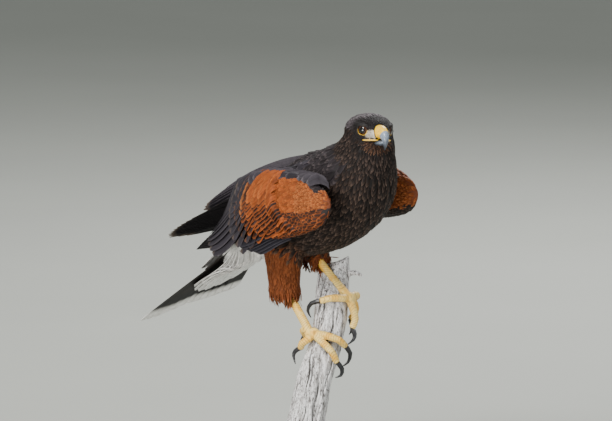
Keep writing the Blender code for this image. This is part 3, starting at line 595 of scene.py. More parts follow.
@dataclass
class Feathers:
    """Feathers gathered for one joined mesh: spines, directions, widths and colours, all in arrays."""

    name: str
    rows: int = 6
    columns: int = 5
    thickness: float = 0.00022
    camber: float = 0.12
    patch: float = TUFT_PATCH
    spines: list = field(default_factory=list)
    acrosses: list = field(default_factory=list)
    normals: list = field(default_factory=list)
    widths: list = field(default_factory=list)
    tints: list = field(default_factory=list)
    corners: list = field(default_factory=list)

    @property
    def steps(self) -> np.ndarray:
        """The share of its length at each row of a feather."""
        return np.linspace(0, 1, self.rows)

    @property
    def sides(self) -> np.ndarray:
        """The place of each column across a vane, from -1 to 1."""
        return np.linspace(-1, 1, self.columns)

    def next_corner(self) -> tuple[float, float]:
        """Where the next large feather's own cell of the baking map starts."""
        row, column = divmod(len(self.spines), CELLS_ACROSS)
        return column * CELL + CELL_MARGIN, row * CELL + CELL_MARGIN

    def add(self, spine: np.ndarray, across: np.ndarray, normal: np.ndarray, width: np.ndarray,
            tint: np.ndarray, corner: tuple[float, float]) -> None:
        """Adds one feather.

        Args:
            spine: its centre line, a point a row.
            across: the direction across it at each row.
            normal: the direction off the body at each row.
            width: its half width at each row.
            tint: its colour at each row and column.
            corner: where its patch starts on the baking map.
        """
        stores = (self.spines, self.acrosses, self.normals, self.widths, self.tints, self.corners)
        for store, value in zip(stores, (spine, across, normal, width, tint, corner)):
            store.append(value)

    def built(self) -> bpy.types.Object:
        """Builds all the feathers as one mesh of thin closed vanes.

        Returns:
            The piece, with its colours, its places along and across each vane, and its baking map.
        """
        count, rows, columns = len(self.spines), self.rows, self.columns
        stores = (self.spines, self.acrosses, self.normals)
        spine, across, normal = (np.array(store, float)[:, :, None, :] for store in stores)
        width = np.array(self.widths, float)[:, :, None, None]
        side = self.sides[None, None, :, None]
        top = spine + across * width * side - normal * (self.camber * width * side ** 2)
        under = top - normal * self.thickness
        sheet = rows * columns
        points = np.concatenate([layer.reshape(count, sheet, 3) for layer in (top, under)], 1).reshape(-1, 3)
        grid = np.arange(sheet).reshape(rows, columns)
        upper = np.stack((grid[:-1, :-1], grid[:-1, 1:], grid[1:, 1:], grid[1:, :-1]), -1).reshape(-1, 4)
        rim = np.concatenate((grid[0, :], grid[1:, -1], grid[-1, -2::-1], grid[-2:0:-1, 0]))
        after = np.roll(rim, -1)
        wall = np.stack((after, rim, rim + sheet, after + sheet), -1)
        faces = np.concatenate((upper, upper[:, ::-1] + sheet, wall))
        loops = (faces[None] + (np.arange(count) * sheet * 2)[:, None, None]).ravel().astype(np.int32)
        mesh = bpy.data.meshes.new(self.name)
        mesh.vertices.add(len(points))
        mesh.vertices.foreach_set("co", points.astype(np.float32).ravel())
        mesh.loops.add(len(loops))
        mesh.loops.foreach_set("vertex_index", loops)
        mesh.polygons.add(len(loops) // 4)
        mesh.polygons.foreach_set("loop_start", np.arange(0, len(loops), 4, dtype=np.int32))
        mesh.update(calc_edges=True)
        tint = np.ones((count, 2, rows, columns, 4), np.float32)
        tint[..., :3] = np.array(self.tints, float)[:, None]
        along = np.broadcast_to(self.steps[None, None, :, None], tint.shape[:4])
        over = np.broadcast_to(self.sides[None, None, None, :], tint.shape[:4])
        Bench.mark(mesh, tint=tint, along=along, across=over)
        patches = np.stack(((over + 1) / 2, along), -1) * self.patch
        flat = (patches + np.array(self.corners, float)[:, None, None, None, :]).reshape(-1, 2)
        mesh.uv_layers.new(name=BAKE_MAP).data.foreach_set("uv", flat[loops].astype(np.float32).ravel())
        mesh.shade_smooth()
        piece = bpy.data.objects.new(self.name, mesh)
        bpy.context.scene.collection.objects.link(piece)
        if not self._outward(mesh):
            mesh.flip_normals()
        return piece

    @staticmethod
    def _outward(mesh: bpy.types.Mesh) -> bool:
        """Whether the vanes' faces point away from their insides."""
        work = bmesh.new()
        work.from_mesh(mesh)
        volume = work.calc_volume(signed=True)
        work.free()
        return volume > 0


@dataclass(frozen=True)
class Bone:
    """A place inside the body with the lie of the feathers round it."""

    place: Vector
    lie: Vector
    reach: float
    region: str


@dataclass
class Anatomy:
    """The named sizes that the skin and coat share with the solids."""

    trunk_heading: float = 46.0
    head_heading: float = 65.0
    head_roll: float = 4.0
    head_centre: Vector = field(default_factory=lambda: Vector((0.0775, -0.052, 0.4510)))
    trunk: tuple = (
        ((-0.070, 0.096, 0.300), 0.010), ((-0.058, 0.085, 0.305), 0.028), ((-0.034, 0.060, 0.316), 0.042),
        ((-0.008, 0.036, 0.331), 0.050), ((0.024, 0.006, 0.350), 0.054), ((0.050, -0.014, 0.373), 0.056),
        ((0.062, -0.028, 0.394), 0.052), ((0.069, -0.037, 0.411), 0.043), ((0.074, -0.044, 0.430), 0.034),
    )
    thighs: dict = field(default_factory=lambda: {
        Hand.RIGHT: (((-0.028, 0.020, 0.322), 0.020, 0.026), ((-0.027, 0.019, 0.296), 0.023, 0.028),
                     ((-0.027, 0.021, 0.276), 0.020, 0.024), ((-0.0265, 0.0215, 0.258), 0.0195, 0.021),
                     ((-0.0250, 0.0205, 0.242), 0.0175, 0.017), ((-0.0235, 0.0195, 0.235), 0.012, 0.012)),
        Hand.LEFT: (((0.011, 0.064, 0.325), 0.020, 0.024), ((0.011, 0.060, 0.306), 0.021, 0.023),
                    ((0.011, 0.051, 0.292), 0.018, 0.019), ((0.0125, 0.0435, 0.281), 0.0135, 0.0135),
                    ((0.0155, 0.0385, 0.273), 0.0085, 0.009)),
    })
    tail_root: Vector = field(default_factory=lambda: Vector((-0.0665, 0.0875, 0.3020)))
    tail_axis: Vector = field(default_factory=lambda: Vector((-0.367, 0.781, -0.509)).normalized())
    tail_side: Vector = field(default_factory=lambda: Vector((-0.815, -0.532, -0.229)))

    def head_frame(self) -> tuple[Vector, Vector, Vector]:
        """The head's directions: ahead, to the bird's right, and up."""
        ahead = heading(self.head_heading)
        level = right_of(ahead)
        roll = math.radians(self.head_roll)
        right = level * math.cos(roll) + UP * math.sin(roll)
        return ahead, right, right.cross(ahead)

    def head_place(self, ahead: float, aside: float, above: float) -> Vector:
        """A place in the head's own directions from its centre."""
        forward, right, up = self.head_frame()
        return self.head_centre + forward * ahead + right * aside + up * above

    def tail_frame(self) -> tuple[Vector, Vector, Vector]:
        """The tail's directions: back along it, to the bird's right, and up from it."""
        right = (self.tail_side - self.tail_axis * self.tail_side.dot(self.tail_axis)).normalized()
        return self.tail_axis, right, self.tail_axis.cross(right)

    def bones(self, wings: Iterable["Wing"]) -> list[Bone]:
        """The places that set each feather's region and lie.

        Args:
            wings: the two folded wings.
        Returns:
            Bones for the head, neck, trunk, thighs, wings and tail.
        """
        ahead, _, up = self.head_frame()
        found = []
        for k in range(9):
            back = between((0.032, -0.030), k / 8)
            lie = (-ahead - up * (0.75 * ease((0.004 - back) / 0.034))).normalized()
            found.append(Bone(self.head_place(back, 0, 0), lie, 0.024, "head"))
        rows = rounded_rows([[*c, w] for c, w in self.trunk], 2)
        for low, high in zip(rows, rows[1:]):
            lie = (Vector(low[:3]) - Vector(high[:3])).normalized()
            region = "neck" if low[2] > 0.400 else "trunk"
            found.append(Bone(Vector(high[:3]), lie, high[3], region))
        for rows in self.thighs.values():
            rows = rounded_rows([[*c, w] for c, w, _ in rows], 2)
            for high, low in zip(rows, rows[1:]):
                lie = (Vector(low[:3]) - Vector(high[:3])).normalized()
                if high[2] < 0.312:
                    found.append(Bone(Vector(low[:3]), lie, low[3] + 0.004, "thigh"))
        for wing in wings:
            for k in range(12):
                along = between((0.006, 0.165), k / 11)
                place, back, rise, normal = wing.frame(along)
                middle, half, _, _ = read_table(wing.core, along)
                part = "rear" if along > 0.042 else "fore"
                for level, share in (("low", -0.5), ("mid", 0.0), ("top", 0.5)):
                    at = place + rise * (middle + half * share) - normal * 0.004
                    found.append(Bone(at, back, 0.018, f"{wing.hand.label} {level} {part} wing"))
        back, _, _ = self.tail_frame()
        for k in range(4):
            found.append(Bone(self.tail_root + back * (0.02 * k), back, 0.024, "rump"))
        return found


@dataclass(frozen=True)
class Paint:
    """The colours of one kind of feather: its middle, its edges and its tip."""

    middle: Colour
    edge: Colour
    tip: Colour
    edge_from: float = 0.45
    tip_from: float = 0.72
    spread: float = 0.20
    band: Colour | None = None
    band_run: tuple[float, float] = (0.62, 0.86)
    tip_soft: float = 0.28

    def tints(self, steps: np.ndarray, sides: np.ndarray, draw: np.random.Generator) -> np.ndarray:
        """Colours for each row and column of one feather.

        Args:
            steps: the share of its length at each row.
            sides: each column's place across it, from -1 to 1.
            draw: the seeded random numbers that make each feather a little lighter or darker.
        Returns:
            An array of rows, columns and colour.
        """
        middle, edge, tip = (np.array(c) for c in (self.middle, self.edge, self.tip))
        edged = smoothed((np.abs(sides)[None, :] - self.edge_from) / (1 - self.edge_from))[..., None]
        tipped = smoothed((steps[:, None] - self.tip_from) / self.tip_soft)[..., None]
        colour = middle + (edge - middle) * edged
        if self.band:
            low, high = self.band_run
            banded = smoothed((steps - low) / 0.08) * (1 - smoothed((steps - high) / 0.05))
            colour = colour + (np.array(self.band) - colour) * banded[:, None, None]
        colour = colour + (tip - colour) * tipped
        return colour * draw.uniform(1 - self.spread, 1 + self.spread)


@dataclass(frozen=True)
class Tier:
    """One row of wing feathers, from the blade's top edge to its lower edge, all in metres from the wrist."""

    name: str
    count: int
    run: tuple[float, ...]
    offset: tuple[float, ...]
    tip_offset: tuple[float, ...]
    width: tuple[float, ...]
    lift: tuple[float, ...]
    lean: float
    tips: tuple[float, ...]
    paint: Paint
    low_paint: Paint | None = None
    pointed: float = 0.0


BLACKISH = (0.008, 0.0072, 0.0078)
SLATE = (0.026, 0.0225, 0.028)
SLATE_MID = (0.052, 0.045, 0.053)
SLATE_EDGE = (0.125, 0.108, 0.120)
CHOCOLATE = (0.0065, 0.0044, 0.0040)
CHOCOLATE_MID = (0.036, 0.022, 0.017)
CHOCOLATE_EDGE = (0.105, 0.069, 0.053)
RUFOUS = (0.26, 0.062, 0.013)
RUFOUS_PALE = (0.46, 0.150, 0.040)
WARM_SCALES = Paint((0.21, 0.048, 0.011), RUFOUS, (0.36, 0.100, 0.024), 0.30, 0.70, 0.30, tip_soft=0.3)
DARK_SCALES = Paint((0.017, 0.011, 0.010), RUFOUS, (0.30, 0.085, 0.022), 0.26, 0.86, 0.36, tip_soft=0.12)
CAPE = Paint(SLATE, SLATE_MID, SLATE_EDGE, 0.55, 0.86, 0.26, tip_soft=0.13)
GREAT = Paint(SLATE, SLATE_MID, (0.16, 0.115, 0.095), 0.66, 0.93, 0.24, tip_soft=0.06)


@dataclass
class Wing:
    """A folded wing: its fleshy arm and the tiers of feathers that lie along it."""

    hand: Hand
    trunk_heading: float = 46.0
    wrist_middle: Vector = field(default_factory=lambda: Vector(WRISTS))
    wrist_aside: float = 0.0735
    length: float = 0.345
    steps: int = 34
    roll: tuple = (8.0, 52.0)
    roll_run: tuple = (0.17, 0.32)
    turn_run: tuple = (0.06, 0.27)
    core: tuple = (
        (-0.004, 0.000, 0.004, 0.002, 0.003), (0.004, 0.000, 0.016, 0.006, 0.008),
        (0.020, 0.001, 0.027, 0.010, 0.016), (0.050, 0.005, 0.036, 0.012, 0.024),
        (0.090, 0.009, 0.042, 0.011, 0.026), (0.125, 0.011, 0.041, 0.008, 0.020),
        (0.155, 0.013, 0.034, 0.004, 0.008), (0.172, 0.015, 0.022, 0.001, 0.002),
    )
    far_primaries: tuple = (0.292, 0.316, 0.335, 0.349, 0.359, 0.362, 0.340)
    far_cape_from: float = 0.35
    cape_reach: float = 0.012
    dark_from: float = 0.44
    flight: tuple = (
        Tier("primaries", 14, (0.150, 0.220), (0.014, -0.018), (0.022, -0.016), (0.0120, 0.0090),
             (-0.001, -0.003), 0.26, (0.272, 0.296, 0.315, 0.330, 0.341, 0.345, 0.318),
             Paint(BLACKISH, (0.014, 0.012, 0.013), (0.12, 0.085, 0.060), 0.6, 0.985, 0.12, tip_soft=0.015),
             pointed=0.15),
        Tier("secondaries", 14, (0.170, 0.130), (0.044, 0.040, 0.030, 0.016),
             (0.040, 0.030, 0.014, -0.008, -0.032), (0.0130, 0.0115), (0.001, 0.0005), 0.20,
             (0.276, 0.294, 0.304, 0.304, 0.296, 0.280, 0.258, 0.232),
             Paint(SLATE, SLATE_MID, (0.19, 0.145, 0.120), 0.74, 0.96, 0.20, tip_soft=0.04)),
    )
    coverts: tuple = (
        Tier("greater_low", 11, (0.070, 0.066), (0.048, 0.036, 0.010), (0.043, 0.010, -0.038), (0.0094, 0.0092),
             (0.0026, 0.0026), 0.17, (0.176, 0.190, 0.198, 0.196, 0.184, 0.164), GREAT),
        Tier("greater_mid", 12, (0.060, 0.056), (0.048, 0.034, 0.006), (0.042, 0.008, -0.034), (0.0088, 0.0082),
             (0.0034, 0.0034), 0.16, (0.156, 0.170, 0.178, 0.175, 0.164, 0.145),
             Paint(SLATE, (0.060, 0.036, 0.030), (0.20, 0.090, 0.050), 0.66, 0.92, 0.24, tip_soft=0.07)),
        Tier("greater_high", 14, (0.044, 0.042), (0.050, 0.026, -0.012), (0.042, 0.006, -0.030),
             (0.0070, 0.0062), (0.0042, 0.0040), 0.15, (0.138, 0.150, 0.157, 0.154, 0.144, 0.128),
             Paint((0.040, 0.016, 0.010), (0.20, 0.050, 0.013), RUFOUS_PALE, 0.45, 0.80, 0.28, tip_soft=0.16),
             DARK_SCALES),
        Tier("median_low", 17, (0.034, 0.032), (0.050, 0.018, -0.022), (0.041, 0.006, -0.027), (0.0056, 0.0050),
             (0.0048, 0.0044), 0.15, (0.124, 0.136, 0.141, 0.138, 0.128, 0.112), WARM_SCALES, DARK_SCALES),
        Tier("median_mid", 18, (0.030, 0.028), (0.049, 0.016, -0.022), (0.040, 0.006, -0.027), (0.0050, 0.0046),
             (0.0052, 0.0048), 0.15, (0.112, 0.122, 0.126, 0.123, 0.113, 0.098), WARM_SCALES, DARK_SCALES),
        Tier("median_high", 19, (0.024, 0.022), (0.048, 0.016, -0.022), (0.040, 0.006, -0.027),
             (0.0046, 0.0043), (0.0054, 0.0050), 0.15, (0.101, 0.109, 0.112, 0.109, 0.099, 0.084),
             WARM_SCALES, DARK_SCALES),
        Tier("median_top", 20, (0.015, 0.014), (0.047, 0.016, -0.022), (0.040, 0.006, -0.027), (0.0042, 0.0040),
             (0.0054, 0.0050), 0.15, (0.088, 0.093, 0.095, 0.092, 0.082, 0.066), WARM_SCALES, DARK_SCALES),
        Tier("alula", 6, (0.078, 0.060), (-0.022, -0.032), (-0.030, -0.044), (0.0066, 0.0056),
             (0.0034, 0.0006), 0.22, (0.166, 0.160, 0.152, 0.142, 0.128),
             Paint((0.013, 0.012, 0.016), (0.040, 0.036, 0.044), (0.075, 0.064, 0.068), 0.7, 0.95, 0.14,
                   tip_soft=0.05), pointed=0.3),
    )
    capes: tuple = (
        Tier("cape_low", 13, (0.028, 0.034), (0.041, 0.052, 0.058, 0.058, 0.054),
             (0.029, 0.042, 0.049, 0.050, 0.044), (0.0064, 0.0074), (0.0058, 0.0064), 0.0,
             (0.030, 0.054, 0.080, 0.106, 0.134), CAPE),
        Tier("cape_high", 12, (0.028, 0.034), (0.052, 0.060, 0.066, 0.066, 0.062),
             (0.041, 0.052, 0.059, 0.060, 0.053), (0.0066, 0.0078), (0.0062, 0.0068), -0.1,
             (0.026, 0.048, 0.074, 0.100, 0.126), CAPE),
    )
    axis: list = field(default_factory=list)

    def __post_init__(self) -> None:
        """Walks the wing's middle line once, as the solids do."""
        turn_in = {Hand.RIGHT: 31.0, Hand.LEFT: 37.0}[self.hand]
        slopes = {Hand.RIGHT: (11.5, 18.0), Hand.LEFT: (5.0, 17.0)}[self.hand]
        forward = heading(self.trunk_heading)
        outward = right_of(forward) * self.hand.value
        place = self.wrist_middle + outward * self.wrist_aside
        step = self.length * 1.06 / self.steps
        for k in range(self.steps + 1):
            along = k * step
            low, high = self.turn_run
            turn = math.radians(turn_in) * ease((along - low) / (high - low))
            slope = math.radians(between(slopes, ease(along / self.length)))
            level = -forward * math.cos(turn) - outward * math.sin(turn)
            out = outward * math.cos(turn) - forward * math.sin(turn)
            back = level * math.cos(slope) - UP * math.sin(slope)
            rise = UP * math.cos(slope) + level * math.sin(slope)
            low, high = self.roll_run
            roll = math.radians(between(self.roll, ease((along - low) / (high - low))))
            up = rise * math.cos(roll) - out * math.sin(roll)
            normal = out * math.cos(roll) + rise * math.sin(roll)
            self.axis.append((place.copy(), back, up, normal))
            place += back * step

    def frame(self, along: float) -> list[Vector]:
        """The place on the middle line at a distance from the wrist, with the directions back, up and out."""
        step = self.length * 1.06 / self.steps
        if along <= 0:
            place, back, up, normal = self.axis[0]
            return [place + back * along, back, up, normal]
        i = min(int(along / step), self.steps - 1)
        share = along / step - i
        return [a.lerp(b, share) for a, b in zip(self.axis[i], self.axis[i + 1])]

    def place(self, along: float, offset: float, lift: float, wrapped: bool = False) -> Vector:
        """A place on the wing's outer surface, or wrapped over its top edge."""
        place, _, up, normal = self.frame(along)
        middle, half, bulge, _ = read_table(self.core, along)
        over = 0.0
        if wrapped:
            offset = min(offset, middle + half + self.cape_reach)
            over = max(0.0, offset - middle - max(half, 0.037) + 0.006)
            offset -= over * 0.75
        fall = max(0.0, 1 - ((offset - middle) / max(half, 0.03)) ** 2)
        return place + up * offset + normal * (bulge * fall + lift - over * 0.9)

    def arm(self, sunk: float = -0.0004) -> bpy.types.Object:
        """The fleshy part, a little inside the solid's, for the skin."""
        rows = rounded_rows(self.core, 3)
        frames = [self.frame(row[0]) for row in rows]
        sizes = [tuple(max(0.0006, size - sunk) for size in row[2:]) for row in rows]
        return Bench.tube(self.hand.label + "_arm", [f[0] + f[2] * row[1] for f, row in zip(frames, rows)],
                          [f[2] for f in frames], [f[3] * self.hand.value for f in frames],
                          [(w, b, d) if self.hand is Hand.RIGHT else (w, d, b) for w, b, d in sizes])

    def fill(self, batch: Feathers, tier: Tier, draw: np.random.Generator) -> None:
        """Adds one tier's feathers to a batch, in an order that gives each its own cell of the baking map.

        Args:
            batch: the feathers of this wing.
            tier: the row to add.
            draw: seeded random numbers.
        """
        steps = batch.steps
        long, cape = tier.name == "primaries", tier.name.startswith("cape")
        tips = self.far_primaries if long and self.hand is Hand.LEFT else tier.tips
        jitter = 0.0003 if long else 0.0022
        for k in range(tier.count):
            share = k / (tier.count - 1)
            tip = spread(tips, share) + draw.uniform(-jitter, jitter)
            start = tip - spread(tier.run, share) * draw.uniform(0.96, 1.04)
            low, high = spread(tier.offset, share), spread(tier.tip_offset, share)
            raised = spread(tier.lift, share) + draw.uniform(0, 0.0003)
            if self.hand is Hand.LEFT and cape and share < self.far_cape_from:
                continue
            dark = tier.low_paint and share + draw.normal(0, 0.10) > self.dark_from and draw.random() < 0.8
            paint = tier.low_paint if dark else tier.paint
            spine, across, normals = [], [], []
            for t in steps:
                along = start + (tip - start) * t
                _, _, up, normal = self.frame(along)
                sunk = -(raised + 0.003) * (1 - ease(t / 0.40))
                spine.append(self.place(along, low + (high - low) * ease(t), raised + sunk, cape))
                across.append((up - normal * tier.lean).normalized())
                normals.append(normal)
            outline = (0.50, 0.86, 1.0, 0.95 - 0.25 * tier.pointed, 0.66 - 0.2 * tier.pointed, 0.10)
            wide = np.interp(steps, (0, 0.25, 0.5, 0.8, 0.93, 1), outline)
            wide = wide * spread(tier.width, share) * draw.uniform(0.94, 1.06)
            batch.add(np.array(spine), np.array(across), np.array(normals), wide,
                      paint.tints(steps, batch.sides, draw), batch.next_corner())

    def build(self) -> None:
        """Builds and dresses the wing's flight feathers and its larger coverts."""
        draw = np.random.default_rng(40 + self.hand.value)
        for name, tiers, rows, nodes in (("flight", self.flight, 18, (self.hand.label + "_wing",)),
                                         ("coverts", self.coverts, 10, ()), ("cape", self.capes, 9, ())):
            batch = Feathers(f"{self.hand.label}_wing_{name}", rows, 7, 0.00022, 0.05, 0.09)
            for tier in tiers:
                self.fill(batch, tier, draw)
            Bench.dress(batch.built(), PlumageFinish(), "dark_plumage", *nodes)


@dataclass(frozen=True)
class Fan:
    """A fan of tail feathers or coverts: their lengths, spread and level above the tail's middle."""

    name: str
    lengths: tuple[float, ...]
    half_angles: tuple[float, float]
    half_width: float
    level: float
    fall: float
    arch: float
    paint: Paint


@dataclass
class Tail:
    """The tail: twelve banded feathers between white coverts above and below."""

    anatomy: Anatomy
    core: tuple = ((-0.006, 0.020, 0.010), (0.010, 0.025, 0.013), (0.035, 0.024, 0.011), (0.060, 0.018, 0.006))
    length: float = 0.219
    outer_shorter: float = 0.010
    sunk: float = 0.001
    count: int = 12
    feather: Paint = Paint((0.0090, 0.0062, 0.0048), (0.026, 0.017, 0.011), (0.95, 0.93, 0.90), 0.66, 0.862,
                           0.06, (0.0045, 0.0034, 0.0030), (0.66, 0.90), 0.03)
    covert: Paint = Paint((0.90, 0.885, 0.865), (0.84, 0.82, 0.79), (0.95, 0.94, 0.92), 0.6, 0.8, 0.04)

    def core_piece(self) -> bpy.types.Object:
        """The fleshy root of the tail, for the skin."""
        back, right, up = self.anatomy.tail_frame()
        rows = rounded_rows(self.core, 3)
        centres = [self.anatomy.tail_root + back * row[0] for row in rows]
        sizes = [(row[1] - self.sunk, row[2] - self.sunk, row[2] - self.sunk) for row in rows]
        return Bench.tube("tail_core", centres, [right] * len(rows), [up] * len(rows), sizes)

    def fans(self) -> list[Fan]:
        """The tail's fans, from the undertail coverts to the ones above."""
        middle = (self.count - 1) / 2
        shorter = [self.outer_shorter * (abs(k - middle) / middle) ** 2 for k in range(self.count)]
        fans = [Fan("feathers", tuple(self.length - less for less in shorter), (19.5, 12.0), 0.0125, 0.004,
                    -0.0011, 0.0, self.feather)]
        shape = (0.116, 0.132, 0.141, 0.146, 0.147, 0.143, 0.134, 0.120)
        for k, share in enumerate((1.0, 0.86, 0.70, 0.52)):
            fans.append(Fan(f"under_{k}", tuple(length * share for length in shape), (12.0, 20.0), 0.0130,
                            -0.0060 - 0.0016 * k, 0.0004, -0.004 - 0.0025 * k, self.covert))
        for k, (lengths, half_angle, half_width, level) in enumerate((
                ((0.092, 0.106, 0.112, 0.106, 0.092), 13.0, 0.0110, 0.0080),
                ((0.070, 0.082, 0.086, 0.082, 0.070), 12.0, 0.0105, 0.0092))):
            fans.append(Fan(f"over_{k}", lengths, (half_angle, half_angle), half_width, level, -0.0006, 0.003,
                            self.covert))
        return fans

    def build(self) -> None:
        """Builds and dresses the tail feathers, then the coverts."""
        draw = np.random.default_rng(51)
        back, right, up = self.anatomy.tail_frame()
        root = self.anatomy.tail_root
        fans = self.fans()
        for label, chosen, rows, nodes in (("tail_feathers", fans[:1], 26, ("tail",)),
                                           ("tail_coverts", fans[1:], 12, ())):
            batch = Feathers(label, rows, 9, 0.00035, 0.05, 0.09)
            for fan in chosen:
                count = len(fan.lengths)
                for k, length in enumerate(fan.lengths):
                    share = 2 * k / (count - 1) - 1
                    angle = math.radians(fan.half_angles[0 if share > 0 else 1]) * share
                    along = back * math.cos(angle) + right * math.sin(angle)
                    across = right * math.cos(angle) - back * math.sin(angle)
                    across = (across - up * (0.05 * (1 if share > 0 else -1))).normalized()
                    height = fan.level + fan.fall * abs(share) * (count - 1) / 2
                    start = root + right * (0.010 * share) - back * 0.002
                    length = length + draw.uniform(-0.0015, 0.0015)
                    spine = []
                    for t in batch.steps:
                        swell = fan.arch * math.sin(math.pi * min(1.0, t * 1.1)) ** 2
                        spine.append(start + along * (length * t) + up * (height * ease(t / 0.35) + swell))
                    wide = np.interp(batch.steps, (0, 0.25, 0.6, 0.93, 0.975, 1),
                                     (0.45, 0.80, 1.0, 0.94, 0.74, 0.28))
                    tints = fan.paint.tints(batch.steps, batch.sides, draw)
                    batch.add(np.array(spine), np.array([across] * rows), np.array([up] * rows),
                              wide * fan.half_width, tints, batch.next_corner())
            Bench.dress(batch.built(), PlumageFinish(), "dark_plumage", *nodes)


@dataclass
class Face:
    """The places of the bare parts of the face, in the head's own directions."""

    anatomy: Anatomy
    eye: tuple[float, float, float] = (0.0122, 0.0144, 0.0024)
    eye_radius: float = 0.0077
    eye_turn: float = 36.0

    def at(self, ahead: float, aside: float, above: float, hand: Hand) -> Vector:
        """A place on one side of the head."""
        return self.anatomy.head_place(ahead, aside * hand.value, above)

    def eye_centre(self, hand: Hand) -> Vector:
        """The middle of one eye."""
        return self.at(*self.eye, hand)

    def off_eye(self, point: Vector) -> float:
        """How far a place is from the middle of the nearer eye."""
        return min((point - self.eye_centre(hand)).length for hand in Hand)

    def eye_axis(self, hand: Hand) -> Vector:
        """The direction that one eye looks."""
        ahead, right, _ = self.anatomy.head_frame()
        turn = math.radians(self.eye_turn)
        return (right * (hand.value * math.cos(turn)) + ahead * math.sin(turn)).normalized()

    @staticmethod
    def off_line(point: Vector, start: Vector, end: Vector) -> float:
        """How far a point is from a straight line between two others."""
        run = end - start
        share = min(1.0, max(0.0, (point - start).dot(run) / run.length_squared))
        return (point - start - run * share).length

    def lore(self, point: Vector, hand: Hand) -> float:
        """How far a place is from the bare strip between the eye and the bill."""
        return self.off_line(point, self.at(0.0290, 0.0082, -0.0012, hand),
                             self.at(0.0222, 0.0142, -0.0016, hand))

    def bare(self, point: Vector) -> float:
        """How bare the skin is at a place, from 0 under feathers to 1 on the yellow face."""
        found = 0.0
        _, _, up = self.anatomy.head_frame()
        for hand in Hand:
            off = point - self.eye_centre(hand)
            under = ease((0.0022 - off.dot(up)) / 0.003)
            found = max(found, under * (1 - ease((off.length - self.eye_radius - 0.0003) / 0.0008)))
            found = max(found, 1 - ease((self.lore(point, hand) - 0.0038) / 0.0020))
            gape = self.off_line(point, self.at(0.0300, 0.0080, -0.0078, hand),
                                 self.at(0.0185, 0.0165, -0.0094, hand))
            found = max(found, 1 - ease((gape - 0.0012) / 0.0010))
        return found


@dataclass(frozen=True)
class Tract:
    """One kind of body feather, in metres: how close the roots sit, its size, its lift and its paint."""

    name: str
    spacing: float
    length: float
    half_width: float
    lift: float
    paint: Paint
    stiff: float = 0.0
    rows: int = 6
    columns: int = 5
    rag: float = 0.0


